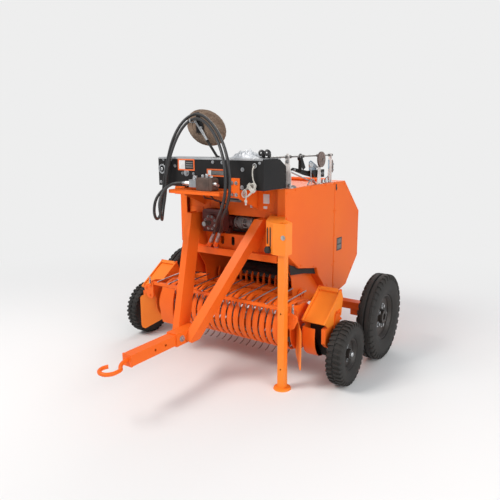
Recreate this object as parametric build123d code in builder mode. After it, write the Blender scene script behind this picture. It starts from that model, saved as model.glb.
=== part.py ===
from build123d import *
import os
from math import atan2, cos, degrees, hypot, pi, radians, sin, tan

# Compact round baler, towed behind a tractor and parked on its leg.
# Millimetres, +Z up, -Y is the way it is towed, +X is its left side.
# The origin lies on the ground under the middle of its length and width.

os.makedirs("parts", exist_ok=True)

# Overall reaches, measured from the main axle
hook_reach = 1815.0
rear_reach = 670.0
axle_y = (hook_reach - rear_reach) / 2

# Main wheels
tyre_d = 640.0
tyre_w = 125.0
rim_d = 330.0
wheel_track = 1875.0

# Gauge wheels of the pickup
gauge_d = 430.0
gauge_w = 112.0
gauge_rim_d = 210.0
gauge_ahead = 546.0

# Axle
beam_h = 55.0
beam_d = 80.0
stub_len = 120.0
spindle_d = 50.0

# Bale chamber
inner_w = 800.0
wall_t = 6.0
cover_depth = 64.0
cover_t = 3.0
sheet_t = 3.0
bale_y = 220.0
bale_z = 840.0
roller_ring_r = 350.0
roller_r = 66.0
roller_bar = 12.0
roller_pitch = 30.0
roller_play = 2.0
journal_r = 20.0
top_z = 1290.0
seam_y = 170.0
seam_gap = 10.0
hinge_z = 1305.0
hinge_r = 14.0

# Side outlines, as distance behind the axle and height
cover_front = [(-600, top_z), (-600, 850), (-400, 705), (-215, 668), (-125, 652), (-95, 585), (60, 425)]
wall_front = [(-564, top_z), (-564, 790), (-500, 770), (-400, 620), (-372, 430), (-300, 335), (-250, 335), (-50, 400)]
side_rear = [(360, top_z), (rear_reach, 1010), (rear_reach, 610), (430, 390), (285, 368)]
bottom_z = 368.0

# Front frame
front_y = -560.0
front_sheet_t = 4.0
gear_bay_z = (935.0, 1080.0)
channel_z = (825.0, 935.0)
channel_d = 60.0
cross_tube = 44.0
cross_tube_z = 800.0
slot_w = 30.0
slot_h = 66.0
slot_pitch = 98.0
post_x = 335.0
post_w = 130.0
post_top = 1120.0
post_t = 6.0
post_face = front_y - front_sheet_t - post_t

# Drawbar
arm_h = 100.0
arm_w = 60.0
arm_wall = 5.0
arm_top = (305.0, -640.0, 1070.0)
arm_foot = (62.0, -1085.0, 350.0)
tongue_s = 70.0
tongue_wall = 8.0
tongue_z = 345.0
hook_len = 205.0
tongue_front = hook_len - hook_reach
tongue_rear = -1060.0
sleeve_wall = 8.0
hook_bar = 24.0
hook_ring_r = 42.0

# Parking leg
leg_x = 596.0
leg_y = -842.0
leg_s = 48.0
leg_wall = 4.0
leg_top = 1010.0
foot_d = 118.0
foot_t = 10.0
socket_gap = 0.3
socket_wall = 6.0
socket_z = (905.0, 1105.0)

# Pickup
pickup_w = 1222.0
gauge_out = 301.0
gauge_track = pickup_w + 2 * gauge_out
reel_y = -605.0
reel_z = 362.0
tine_tip_r = 222.0
tine_r = 2.6
tine_pitch = 55.0
bands = int((pickup_w - 20) / tine_pitch)
tines_in_row = bands - 1
tine_rows = 3
reel_tube_r = 38.0
reel_shaft_r = 20.0
row_r = 112.0
row_bar_r = 13.0
band_r = 172.0
band_w = 41.0
band_t = 4.0
band_crown = 6.0
end_t = 6.0
tube_y = -395.0
tube_z = 235.0
tube_r = 16.0
guard_y = -790.0
guard_z = 528.0
guard_s = 22.0
guard_rod_r = 5.0
guard_rods = (bands + 1) // 2

# Feeder rotor, on whose line the pickup swings
rotor_y = -275.0
rotor_z = 470.0
rotor_tip_r = 118.0
rotor_tube_r = 32.0
finger_t = 8.0
finger_pitch = 55.0
fingers_in_row = 14
finger_rows = 3
rotor_shaft_r = 15.0
boss_r = 30.0
boss_len = 30.0
pivot_play = 0.08
arm_gap = 6.0
shaft_back = 3.0

# Twine box
box_w = 900.0
box_front = -840.0
box_rear = -564.0
box_z = (1296.0, 1490.0)
box_cut = (82.0, 50.0)


def at(y):
    """A distance behind the axle as a Y in the part's frame."""
    return axle_y + y


def finish(part, label):
    """Names a finished piece and writes it."""
    part.label = label
    export_step(part, f"parts/{label}.step")


def side_plane(x):
    """A plane across the machine at x, drawn in Y and Z, that looks to the left side."""
    return Plane(origin=(x, axle_y, 0), x_dir=(0, 1, 0), z_dir=(1, 0, 0))


def profile(points):
    """A closed straight-sided face in the sketch being drawn, whichever way round its points run."""
    area = sum(a[0] * b[1] - b[0] * a[1] for a, b in zip(points, points[1:] + points[:1]))
    Polygon(*(points if area > 0 else points[::-1]), align=None)


def both_sides(part):
    """A left-side piece together with its mirror image on the right."""
    with BuildPart() as pair:
        add(part)
        mirror(about=Plane.YZ)
    return pair.part


# Wheels: a tyre and a dished disc wheel, each turned about its own axle line
def tyre(x, y, outer_d, width, seat_d, ribs, rib_depth):
    centre = (x, at(y), outer_d / 2)
    outer, seat, half = outer_d / 2, seat_d / 2, width / 2
    shoulder = outer - 16
    side = seat + (outer - seat) * 0.48
    with BuildPart() as made:
        with BuildSketch(Plane(origin=centre, x_dir=(1, 0, 0), z_dir=(0, -1, 0))):
            with BuildLine():
                Polyline((-half * 0.62, seat), (-half * 0.78, seat + 14), (-half, side), (-half * 0.93, shoulder))
                Line((-half * 0.93, shoulder), (-half * 0.72, outer))
                Line((-half * 0.72, outer), (half * 0.72, outer))
                Line((half * 0.72, outer), (half * 0.93, shoulder))
                Polyline((half * 0.93, shoulder), (half, side), (half * 0.78, seat + 14), (half * 0.62, seat))
                Line((half * 0.62, seat), (-half * 0.62, seat))
            make_face()
            gap = width * 0.72 / (ribs + 1)
            with Locations(*[(gap * (i - (ribs - 1) / 2), outer) for i in range(ribs)]):
                Rectangle(7, rib_depth * 2, mode=Mode.SUBTRACT)
        revolve(axis=Axis(centre, (1, 0, 0)))
    return made.part


def disc_wheel(x, y, outer_d, seat_d, width, hub_r, bore_r, studs, outward):
    """A rim with a dished disc and hub; outward is 1 on the left side and -1 on the right."""
    centre = (x, at(y), outer_d / 2)
    seat, half = seat_d / 2, width / 2 * 0.62
    dish = 0.30 * half * outward
    with BuildPart() as made:
        with BuildSketch(Plane(origin=centre, x_dir=(1, 0, 0), z_dir=(0, -1, 0))):
            with BuildLine():
                Polyline((-half, seat - 0.3), (-half, seat - 7), (-half * 0.3, seat - 26), (half * 0.3, seat - 26),
                         (half, seat - 7), (half, seat - 0.3), close=True)
            make_face()
            with Locations((0, seat - 34)):
                Rectangle(2 * half + 8, 24, mode=Mode.SUBTRACT)
            with BuildLine():
                Polyline((dish - 3, seat - 19), (dish + 3, seat - 19), (dish + 3, seat * 0.62), (outward * 8 + 3, hub_r),
                         (outward * 8 - 3, hub_r), (dish - 3, seat * 0.62), close=True)
            make_face()
            with Locations((outward * 2, (hub_r + bore_r) / 2 + 1)):
                Rectangle(width * 0.62, hub_r - bore_r + 2)
        revolve(axis=Axis(centre, (1, 0, 0)))
        with BuildSketch(Plane(origin=centre, x_dir=(0, 1, 0), z_dir=(1, 0, 0))):
            with PolarLocations(seat * 0.47, studs):
                Circle(7)
        extrude(amount=outward * 22)
    return made.part


main_x = wheel_track / 2
gauge_x = gauge_track / 2
stub_r = 16.0
for side_name, hand in (("left", 1), ("right", -1)):
    finish(tyre(hand * main_x, 0, tyre_d, tyre_w, rim_d, 3, 9), f"main_tyre_{side_name}")
    finish(disc_wheel(hand * main_x, 0, tyre_d, rim_d, tyre_w, 48, spindle_d / 2 + 0.08, 5, hand), f"main_rim_{side_name}")
    finish(tyre(hand * gauge_x, -gauge_ahead, gauge_d, gauge_w, gauge_rim_d, 2, 8), f"gauge_tyre_{side_name}")
    finish(disc_wheel(hand * gauge_x, -gauge_ahead, gauge_d, gauge_rim_d, gauge_w, 30, stub_r + 0.08, 4, hand),
           f"gauge_rim_{side_name}")

# Axle: a beam over two spindles that carry the main wheels
axle_z = tyre_d / 2
spindle_reach = main_x + 30
beam_reach = main_x - tyre_w / 2 - 40
with BuildPart() as beam:
    with BuildSketch(Plane(origin=(0, axle_y, axle_z + spindle_d / 2 + beam_h / 2), x_dir=(0, 1, 0), z_dir=(1, 0, 0))):
        Rectangle(beam_d, beam_h)
        Rectangle(beam_d - 12, beam_h - 12, mode=Mode.SUBTRACT)
    extrude(amount=beam_reach, both=True)
    for hand in (1, -1):
        with BuildSketch(side_plane(hand * (beam_reach - stub_len))):
            with Locations((0, axle_z)):
                Rectangle(spindle_d, spindle_d)
        extrude(amount=hand * stub_len)
        with BuildSketch(side_plane(hand * (beam_reach - 10))):
            with Locations((0, axle_z)):
                Circle(spindle_d / 2)
        extrude(amount=hand * (spindle_reach - beam_reach + 10))
finish(beam.part, "axle")

# Chamber walls: one plate a side on the fixed half and one on the tailgate
ring = [(bale_y + roller_ring_r * cos(radians(a)), bale_z + roller_ring_r * sin(radians(a)), a)
        for a in range(15, 360, int(roller_pitch)) if a != 225]
fixed_rollers = [(y, z) for y, z, a in ring if y < seam_y]
gate_rollers = [(y, z) for y, z, a in ring if y > seam_y]
fixed_edge = seam_y - seam_gap / 2
gate_edge = seam_y + seam_gap / 2
fixed_wall = wall_front + [(fixed_edge, 400), (fixed_edge, top_z)]
gate_wall = [(gate_edge, top_z)] + side_rear + [(gate_edge, bottom_z)]
fixed_cover = cover_front + [(fixed_edge, 402), (fixed_edge, top_z)]
half_in = inner_w / 2


def wall(points, seats, x, extra=()):
    """A chamber wall with a hole for each roller journal and a bored boss at each pivot."""
    with BuildPart() as plate:
        with BuildSketch(side_plane(x)):
            profile(points)
        extrude(amount=wall_t)
        for y, z, radius in extra:
            with BuildSketch(side_plane(x)):
                with Locations((y, z)):
                    Circle(boss_r)
            extrude(amount=wall_t + boss_len)
        with BuildSketch(side_plane(x)):
            with Locations(*seats):
                Circle(journal_r + 0.3)
            for y, z, radius in extra:
                with Locations((y, z)):
                    Circle(radius)
        extrude(amount=wall_t + boss_len, mode=Mode.SUBTRACT)
    return plate.part


rotor_hole = [(rotor_y, rotor_z, rotor_shaft_r + pivot_play)]
wall_left = wall(fixed_wall, fixed_rollers, half_in, rotor_hole)
gate_left = wall(gate_wall, gate_rollers, half_in)
finish(both_sides(wall_left), "chamber_walls")
finish(both_sides(gate_left), "gate_walls")


def side_cover(points):
    """A sheet cover over the chains, open towards the wall."""
    near = half_in + wall_t
    with BuildPart() as cover:
        with BuildSketch(side_plane(near)):
            profile(points)
        extrude(amount=cover_depth)
        chamfer(cover.faces().sort_by(Axis.X)[-1].edges(), length=4.5)
        with BuildSketch(side_plane(near)):
            profile(points)
            offset(amount=-cover_t, kind=Kind.INTERSECTION, mode=Mode.REPLACE)
        extrude(amount=cover_depth - cover_t, mode=Mode.SUBTRACT)
    return cover.part


cover_left = side_cover(fixed_cover)
gate_cover_left = side_cover(gate_wall)
finish(both_sides(cover_left), "side_covers")
finish(both_sides(gate_cover_left), "gate_covers")


def rollers(seats):
    """Ribbed steel rollers with their journals in the walls."""
    barrel = half_in - roller_play
    with BuildPart() as made:
        with BuildSketch(side_plane(0)):
            with Locations(*seats):
                Circle(roller_r - roller_bar / 2)
                with PolarLocations(roller_r - roller_bar, 6):
                    Rectangle(2 * roller_bar, roller_bar)
        extrude(amount=barrel, both=True)
        with BuildSketch(side_plane(0)):
            with Locations(*seats):
                Circle(roller_r - roller_bar - 6)
                Circle(journal_r, mode=Mode.SUBTRACT)
        extrude(amount=barrel - 8, both=True, mode=Mode.SUBTRACT)
        with BuildSketch(side_plane(0)):
            with Locations(*seats):
                Circle(journal_r)
        extrude(amount=half_in + wall_t + 8, both=True)
    return made.part


finish(rollers(fixed_rollers), "chamber_rollers")
finish(rollers(gate_rollers), "gate_rollers")

# Skins between the walls: the top of the fixed half and the wrap of the tailgate
with BuildPart() as top_skin:
    with BuildSketch(Plane(origin=(0, at((front_y + 40 + fixed_edge) / 2), top_z - sheet_t))):
        Rectangle(inner_w, fixed_edge - front_y - 40)
    extrude(amount=sheet_t)

gate_turn = [(gate_edge + 4, top_z)] + side_rear + [(gate_edge + 4, bottom_z)]
with BuildPart() as gate_skin:
    with BuildSketch(side_plane(-half_in)):
        profile(gate_turn)
    extrude(amount=inner_w)
    with BuildSketch(side_plane(-half_in)):
        profile(gate_turn)
        offset(amount=-sheet_t, kind=Kind.INTERSECTION, mode=Mode.REPLACE)
    extrude(amount=inner_w, mode=Mode.SUBTRACT)
    with BuildSketch(side_plane(-half_in)):
        with Locations((gate_edge + 4, (top_z + bottom_z) / 2)):
            Rectangle(8, top_z - bottom_z + 4)
    extrude(amount=inner_w, mode=Mode.SUBTRACT)

# Hinge of the tailgate: a tube on the gate turning on a bar held by two ears
ear_w = 20.0
with BuildPart() as hinge_bar:
    with BuildSketch(Plane(origin=(0, at(seam_y), hinge_z), x_dir=(0, 1, 0), z_dir=(1, 0, 0))):
        Circle(hinge_r - 6)
    extrude(amount=half_in - 8, both=True)
    for x in (-half_in + 8, -ear_w / 2, half_in - 8 - ear_w):
        with BuildSketch(side_plane(x)):
            with BuildLine():
                Polyline((seam_y - 62, top_z), (seam_y - 62, top_z + 14), (seam_y - 14, hinge_z + 14),
                         (seam_y + 8, hinge_z + 14), (seam_y + 8, hinge_z - 6), (seam_y - 16, hinge_z - 14),
                         (seam_y - 30, top_z), close=True)
            make_face()
        extrude(amount=ear_w)
finish(hinge_bar.part, "hinge_bar")

with BuildPart() as hinge_tube:
    for x in (-half_in + 8 + ear_w + 2, ear_w / 2 + 2):
        span = half_in - 8 - 1.5 * ear_w - 4
        with BuildSketch(side_plane(x)):
            with Locations((seam_y, hinge_z)):
                Circle(hinge_r)
            with BuildLine():
                Polyline((seam_y, hinge_z + hinge_r), (seam_y + 90, top_z + 4), (seam_y + 90, top_z), (seam_y + 20, top_z),
                         (seam_y, hinge_z - hinge_r + 2), close=True)
            make_face()
            with Locations((seam_y, hinge_z)):
                Circle(hinge_r - 6 + pivot_play, mode=Mode.SUBTRACT)
        extrude(amount=span)
    add(gate_skin.part)
finish(hinge_tube.part, "gate_skin")

# Front sheet above the gear bay, with folded edges
with BuildPart() as front_panel:
    with BuildSketch(Plane(origin=(0, at(front_y), 0), x_dir=(1, 0, 0), z_dir=(0, -1, 0))):
        with Locations((0, (gear_bay_z[1] + top_z) / 2)):
            Rectangle(inner_w, top_z - gear_bay_z[1])
    extrude(amount=front_sheet_t)
    with BuildSketch(Plane(origin=(0, at(front_y), gear_bay_z[1]), x_dir=(1, 0, 0), z_dir=(0, 0, 1))):
        with Locations((0, 20)):
            Rectangle(inner_w, 40)
    extrude(amount=front_sheet_t)
    with BuildSketch(Plane(origin=(0, at(front_y), top_z - front_sheet_t), x_dir=(1, 0, 0), z_dir=(0, 0, 1))):
        with Locations((0, 19)):
            Rectangle(inner_w, 38)
    extrude(amount=front_sheet_t)
    add(top_skin.part)
finish(front_panel.part, "front_and_top_skin")

# Front frame: slotted channel, cross tube and the drawbar's bolting cheeks
with BuildPart() as front_frame:
    with BuildSketch(Plane(origin=(0, at(front_y), 0), x_dir=(1, 0, 0), z_dir=(0, -1, 0))):
        with Locations((0, sum(channel_z) / 2)):
            Rectangle(inner_w, channel_z[1] - channel_z[0])
        with Locations(*[(slot_pitch * (i - 3), sum(channel_z) / 2 + 4) for i in range(7)]):
            SlotOverall(slot_h, slot_w, rotation=90, mode=Mode.SUBTRACT)
    extrude(amount=front_sheet_t)
    for z in (channel_z[0], channel_z[1] - front_sheet_t):
        with BuildSketch(Plane(origin=(0, at(front_y), z), x_dir=(1, 0, 0), z_dir=(0, 0, 1))):
            with Locations((0, channel_d / 2 - front_sheet_t / 2)):
                Rectangle(inner_w, channel_d + front_sheet_t)
        extrude(amount=front_sheet_t)
    with BuildSketch(Plane(origin=(0, at(front_y) - cross_tube / 2, cross_tube_z), x_dir=(0, 1, 0), z_dir=(1, 0, 0))):
        Rectangle(cross_tube, cross_tube + 6)
        Rectangle(cross_tube - 8, cross_tube - 2, mode=Mode.SUBTRACT)
    extrude(amount=half_in, both=True)
    for x in (-post_x, post_x):
        with BuildSketch(Plane(origin=(x, at(post_face) + post_t, 0), x_dir=(1, 0, 0), z_dir=(0, -1, 0))):
            with Locations((0, (channel_z[0] + post_top) / 2)):
                Rectangle(post_w, post_top - channel_z[0])
        extrude(amount=post_t)
finish(front_frame.part, "front_frame")

# Drawbar: two inclined arms over the pickup, a sleeve that clamps the tongue, and the hook
lean = atan2(arm_top[0] - arm_foot[0], arm_top[2] - arm_foot[2])
arm_plane = Plane(origin=(arm_top[0], at(arm_top[1]), arm_top[2]), x_dir=(0, 1, 0), z_dir=(cos(lean), 0, -sin(lean)))
arm_run = ((arm_foot[1] - arm_top[1]), (arm_foot[2] - arm_top[2]) / cos(lean))
arm_len = hypot(*arm_run)
arm_dir = (arm_run[0] / arm_len, arm_run[1] / arm_len)


def on_arm(along, across):
    """A point in the arm's plane: along from its top, across towards the front."""
    return (arm_dir[0] * along + arm_dir[1] * across, arm_dir[1] * along - arm_dir[0] * across)


arm_ends = (-60.0, arm_len + 60.0)
with BuildPart() as arms:
    with BuildSketch(arm_plane.offset(-arm_w / 2)):
        profile([on_arm(arm_ends[0], -arm_h / 2), on_arm(arm_ends[0], arm_h / 2),
                 on_arm(arm_ends[1], arm_h / 2), on_arm(arm_ends[1], -arm_h / 2)])
    extrude(amount=arm_w)
    with BuildSketch(arm_plane.offset(-arm_w / 2 + arm_wall)):
        profile([on_arm(arm_ends[0] - 1, -arm_h / 2 + arm_wall), on_arm(arm_ends[0] - 1, arm_h / 2 - arm_wall),
                 on_arm(arm_ends[1] + 1, arm_h / 2 - arm_wall), on_arm(arm_ends[1] + 1, -arm_h / 2 + arm_wall)])
    extrude(amount=arm_w - 2 * arm_wall, mode=Mode.SUBTRACT)
    with BuildSketch(arm_plane.offset(-arm_wall)):
        profile([(30, 2), (-30, -225), (20, -240), (post_face - arm_top[1], -240), (post_face - arm_top[1], 2)])
    extrude(amount=2 * arm_wall)
    sleeve_half = tongue_s / 2 + sleeve_wall
    floor_z = tongue_z - sleeve_half
    for low, high in (((-10, -1400, 0), (sleeve_half, -900, tongue_z + sleeve_half)), ((-10, -1400, 0), (400, -900, floor_z)),
                      ((-10, -1400, 1085), (400, -400, 1400)), ((0, post_face, 0), (420, -200, 1400)),
                      ((-100, -1400, 0), (0.0, -900, 500))):
        size = [b - a for a, b in zip(low, high)]
        with Locations(((low[0] + high[0]) / 2, at((low[1] + high[1]) / 2), (low[2] + high[2]) / 2)):
            Box(*size, mode=Mode.SUBTRACT)
    mirror(about=Plane.YZ)


def square_bar(y_from, y_to, outer, inner, z, holes=()):
    """A square tube along the middle of the machine, with cross holes."""
    with BuildPart() as made:
        with BuildSketch(Plane(origin=(0, at(y_from), z), x_dir=(1, 0, 0), z_dir=(0, -1, 0))):
            Rectangle(outer, outer)
            if inner:
                Rectangle(inner, inner, mode=Mode.SUBTRACT)
        extrude(amount=y_from - y_to)
        for y, radius in holes:
            with BuildSketch(side_plane(-outer)):
                with Locations((y, z)):
                    Circle(radius)
            extrude(amount=2 * outer, mode=Mode.SUBTRACT)
    return made.part


bolt_ys = (-1110.0, -1190.0)
sleeve = square_bar(-1035.0, -1240.0, 2 * sleeve_half, tongue_s, tongue_z, [(y, 8.0) for y in bolt_ys])
with BuildPart() as drawbar:
    add(arms.part)
    add(sleeve)
finish(drawbar.part, "drawbar")
tongue_holes = [(y, 8.0) for y in bolt_ys] + [(tongue_front + 280, 8.0), (tongue_front + 190, 8.0)]
finish(square_bar(tongue_rear, tongue_front, tongue_s, tongue_s - 2 * tongue_wall, tongue_z, tongue_holes), "tongue")

hook_y = -hook_reach + hook_ring_r + hook_bar
hook_turn = 305.0
with BuildPart() as hook:
    with BuildSketch(Plane(origin=(0, at(tongue_front), tongue_z), x_dir=(1, 0, 0), z_dir=(0, -1, 0))):
        Rectangle(tongue_s + 4, tongue_s + 4)
    extrude(amount=8)
    with BuildLine() as shank:
        Spline((0, at(tongue_front - 4), tongue_z), (6, at(tongue_front - 50), tongue_z - 2),
               (26, at(hook_y + 58), tongue_z - 10), (hook_ring_r + hook_bar / 2, at(hook_y), tongue_z - 12),
               tangents=((0, -1, 0), (0, -1, 0)))
    with BuildSketch(Plane(origin=(0, at(tongue_front - 4), tongue_z), x_dir=(1, 0, 0), z_dir=(0, -1, 0))):
        Circle(hook_bar / 2)
    sweep(path=shank.wires()[0])
    with BuildSketch(Plane(origin=(0, at(hook_y), tongue_z - 12), x_dir=(1, 0, 0), z_dir=(0, -1, 0))):
        with Locations((hook_ring_r + hook_bar / 2, 0)):
            Circle(hook_bar / 2)
    revolve(axis=Axis((0, at(hook_y), 0), (0, 0, 1)), revolution_arc=-(hook_turn - 90))
finish(hook.part, "hitch_hook")

# Gearbox in the bay behind the arms, with the input shaft and the shaft to the chain side
gear_x = -125.0
gear_y = -640.0
gear_z = 1025.0
cross_y = -516.0
with BuildPart() as gearbox:
    with BuildSketch(Plane(origin=(gear_x, at(front_y) - 10, gear_z + 12), x_dir=(1, 0, 0), z_dir=(0, -1, 0))):
        RectangleRounded(190, 165, 30)
    extrude(amount=front_y - 10 - gear_y)
    with BuildSketch(Plane(origin=(gear_x, at(front_y) + 84, gear_z), x_dir=(1, 0, 0), z_dir=(0, -1, 0))):
        RectangleRounded(160, 100, 24)
    extrude(amount=96)
    with BuildSketch(Plane(origin=(gear_x, at(gear_y), gear_z), x_dir=(1, 0, 0), z_dir=(0, -1, 0))):
        Circle(58)
    extrude(amount=24, taper=14)
    with BuildSketch(side_plane(gear_x + 76)):
        with Locations((cross_y, gear_z)):
            Circle(42)
    extrude(amount=34, taper=12)
    for side in (-1, 1):
        with BuildSketch(Plane(origin=(gear_x + side * 66, at(front_y) + 30, gear_z - 48), x_dir=(1, 0, 0))):
            Rectangle(40, 50)
        extrude(amount=-(gear_z - 48 - channel_z[1]))
finish(gearbox.part, "gearbox")

input_r = 17.5
input_len = 78.0
with BuildPart() as input_shaft:
    with BuildSketch(Plane(origin=(gear_x, at(gear_y - 24), gear_z), x_dir=(1, 0, 0), z_dir=(0, -1, 0))):
        Circle(input_r)
        with PolarLocations(input_r, 6):
            Rectangle(5, 4, mode=Mode.SUBTRACT)
    extrude(amount=input_len)
finish(input_shaft.part, "input_shaft")

cross_rows = [(34, 24, 16), (50, 12, 38), (62, 40, 30), (102, 12, 42), (114, 60, 22), (174, 10, 38), (184, 24, 30)]
with BuildPart() as cross_shaft:
    for start, length, radius in cross_rows:
        with BuildSketch(side_plane(gear_x + 76 + start)):
            with Locations((cross_y, gear_z)):
                Circle(radius)
        extrude(amount=length)
    with BuildSketch(side_plane(gear_x + 284)):
        with Locations((cross_y, gear_z)):
            Circle(16)
    extrude(amount=half_in - gear_x - 284)
finish(cross_shaft.part, "cross_shaft")

# Bracket of the parking leg: a folded box from the side of the frame out to the leg
bracket_plan = [(345, front_y - 10), (400, front_y - 10), (400, -600), (468, -600), (530, -705), (636, -800), (636, -882),
                (545, -882), (450, -812), (372, -650), (345, -612)]
with BuildPart() as leg_bracket:
    with BuildSketch(Plane(origin=(0, axle_y, socket_z[0]))):
        profile(bracket_plan)
    extrude(amount=socket_z[1] - socket_z[0])
    with BuildSketch(Plane(origin=(0, axle_y, socket_z[0]))):
        profile(bracket_plan)
        offset(amount=-socket_wall, kind=Kind.INTERSECTION, mode=Mode.REPLACE)
    extrude(amount=socket_z[1] - socket_z[0] - socket_wall, mode=Mode.SUBTRACT)
    for z in (socket_z[0], socket_z[1] - 14):
        with BuildSketch(Plane(origin=(leg_x, at(leg_y), z))):
            Rectangle(leg_s + 24, leg_s + 24)
        extrude(amount=14)
    with BuildSketch(Plane(origin=(leg_x, at(leg_y), socket_z[0] - 1))):
        Rectangle(leg_s + 2 * socket_gap, leg_s + 2 * socket_gap)
    extrude(amount=socket_z[1] - socket_z[0] + 2, mode=Mode.SUBTRACT)
    for x in (418, 472):
        with BuildSketch(Plane(origin=(x, at(-900), sum(socket_z) / 2 + 8), x_dir=(1, 0, 0), z_dir=(0, -1, 0))):
            SlotOverall(110, 22, rotation=90)
        extrude(amount=-200, mode=Mode.SUBTRACT)
finish(leg_bracket.part, "leg_bracket")

pin_z = (leg_top - 120, 520.0, 140.0)
with BuildPart() as leg:
    with BuildSketch(Plane(origin=(leg_x, at(leg_y), foot_t - 2))):
        Rectangle(leg_s, leg_s)
        Rectangle(leg_s - 2 * leg_wall, leg_s - 2 * leg_wall, mode=Mode.SUBTRACT)
    extrude(amount=leg_top - foot_t + 2)
    with BuildSketch(Plane(origin=(leg_x, at(leg_y), 0))):
        Circle(foot_d / 2)
    extrude(amount=foot_t, taper=20)
    for z in pin_z[1:]:
        with BuildSketch(Plane(origin=(leg_x, at(leg_y) - leg_s, z), x_dir=(1, 0, 0), z_dir=(0, 1, 0))):
            Circle(6)
        extrude(amount=2 * leg_s, mode=Mode.SUBTRACT)
finish(leg.part, "parking_leg")

# Twine box: a closed sheet box with a flat lid, on two brackets in front of the frame
box_profile = [(box_front, box_z[0]), (box_front, box_z[1]), (box_rear - box_cut[0], box_z[1]),
               (box_rear, box_z[1] - box_cut[1]), (box_rear, box_z[0])]
lid_y = (box_front + 8, box_rear - box_cut[0] - 4)
with BuildPart() as twine_box:
    with BuildSketch(side_plane(-box_w / 2)):
        profile(box_profile)
    extrude(amount=box_w)
    with BuildSketch(side_plane(-box_w / 2 + sheet_t)):
        profile(box_profile)
        offset(amount=-sheet_t, kind=Kind.INTERSECTION, mode=Mode.REPLACE)
    extrude(amount=box_w - 2 * sheet_t, mode=Mode.SUBTRACT)
    with BuildSketch(Plane(origin=(0, at(sum(lid_y) / 2), box_z[1]))):
        Rectangle(box_w - 20, lid_y[1] - lid_y[0])
    extrude(amount=sheet_t)
finish(twine_box.part, "twine_box")

tab_xs = (200.0, -250.0)
tab_w = 92.0
with BuildPart() as box_brackets:
    for x in tab_xs:
        start = x - tab_w / 2
        with BuildSketch(side_plane(start)):
            profile([(box_front - 6, 1240), (box_front - 6, 1412), (box_front, 1412), (box_front, box_z[0]),
                     (front_y - front_sheet_t, box_z[0]), (front_y - front_sheet_t, 1130), (front_y - front_sheet_t - 6, 1130),
                     (front_y - front_sheet_t - 6, box_z[0] - 6), (box_front, box_z[0] - 6), (box_front, 1240)])
        extrude(amount=tab_w)
        with BuildSketch(side_plane(x - 3)):
            profile([(front_y - 8, 1140), (front_y - 8, box_z[0] - 4), (box_front - 2, box_z[0] - 4), (box_front - 2, 1250)])
        extrude(amount=6)
    with BuildSketch(side_plane(-222)):
        profile([(box_front - 6, 1246), (box_front - 6, 1286), (-985, 1286), (-985, 1280), (box_front - 12, 1280),
                 (box_front - 12, 1246)])
    extrude(amount=430)
finish(box_brackets.part, "box_brackets")

# Valve block on the shelf in front of the box

with BuildPart() as valve_block:
    with BuildSketch(Plane(origin=(50, at(-925), 1286))):
        Rectangle(230, 76)
    extrude(amount=84)
    chamfer(valve_block.edges().filter_by(Axis.Z), length=8)
    for x in (-10, 45, 100):
        with BuildSketch(Plane(origin=(x, at(-925), 1370))):
            Circle(15)
        extrude(amount=16)
finish(valve_block.part, "valve_block")

with BuildPart() as valve_fittings:
    for y in (-945, -905):
        for x, hand in ((-65, -1), (165, 1)):
            with BuildSketch(side_plane(x)):
                with Locations((y, 1330)):
                    RegularPolygon(15, 6)
            extrude(amount=hand * 26)
            with BuildSketch(side_plane(x + hand * 26)):
                with Locations((y, 1330)):
                    Circle(10)
            extrude(amount=hand * 38)
finish(valve_fittings.part, "valve_fittings")

# Post for the hoses, on the lid, with the spare twine ball on a peg behind it
post_foot = (-20.0, -700.0, box_z[1] + sheet_t)
post_tip = (-205.0, -738.0, 1768.0)
post_r = 8.0
post_axis = Vector(*post_tip) - Vector(*post_foot)
post_plane = Plane(origin=(post_foot[0], at(post_foot[1]), post_foot[2] + 8), z_dir=post_axis)
ball_x = -172.0
ball_z = 1690.0
ball_y = (-706.0, -510.0)
ball_r = 148.0
peg_r = 8.0
hook_z = 1734.0
with BuildPart() as hose_post:
    with BuildSketch(post_plane):
        Circle(post_r)
    extrude(amount=post_axis.length - 8)
    with BuildSketch(Plane(origin=(post_foot[0], at(post_foot[1]), post_foot[2]))):
        Circle(34)
    extrude(amount=14)
    with BuildSketch(Plane(origin=(ball_x + 14, at(ball_y[0]) - 4, ball_z - 6), x_dir=(1, 0, 0), z_dir=(0, -1, 0))):
        Rectangle(84, 56)
    extrude(amount=14)
    with BuildSketch(Plane(origin=(ball_x, at(ball_y[0]) - 8, ball_z), x_dir=(1, 0, 0), z_dir=(0, 1, 0))):
        Circle(peg_r)
    extrude(amount=ball_y[1] - ball_y[0] + 34)
    with BuildLine() as hook_line:
        FilletPolyline((-190, at(-728), hook_z), (-190, at(-790), hook_z), (-190, at(-790), hook_z + 26), radius=10)
    with BuildSketch(Plane(origin=(-190, at(-728), hook_z), x_dir=(1, 0, 0), z_dir=(0, -1, 0))):
        Circle(5)
    sweep(path=hook_line.wires()[0])
finish(hose_post.part, "hose_post")

with BuildPart() as twine_ball:
    with BuildSketch(Plane(origin=(ball_x, at(ball_y[0]), ball_z), x_dir=(0, 1, 0), z_dir=(1, 0, 0))):
        with BuildLine():
            half = (ball_y[1] - ball_y[0]) / 2
            Line((0, peg_r + 0.1), (0, ball_r - 44))
            RadiusArc((0, ball_r - 44), (44, ball_r - 4), 46)
            ThreePointArc((44, ball_r - 4), (half, ball_r), (2 * half - 44, ball_r - 4))
            RadiusArc((2 * half - 44, ball_r - 4), (2 * half, ball_r - 44), 46)
            Line((2 * half, ball_r - 44), (2 * half, peg_r + 0.1))
            Line((2 * half, peg_r + 0.1), (0, peg_r + 0.1))
        make_face()
    revolve(axis=Axis((ball_x, at(0), ball_z), (0, 1, 0)))
finish(twine_ball.part, "twine_ball")

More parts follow.
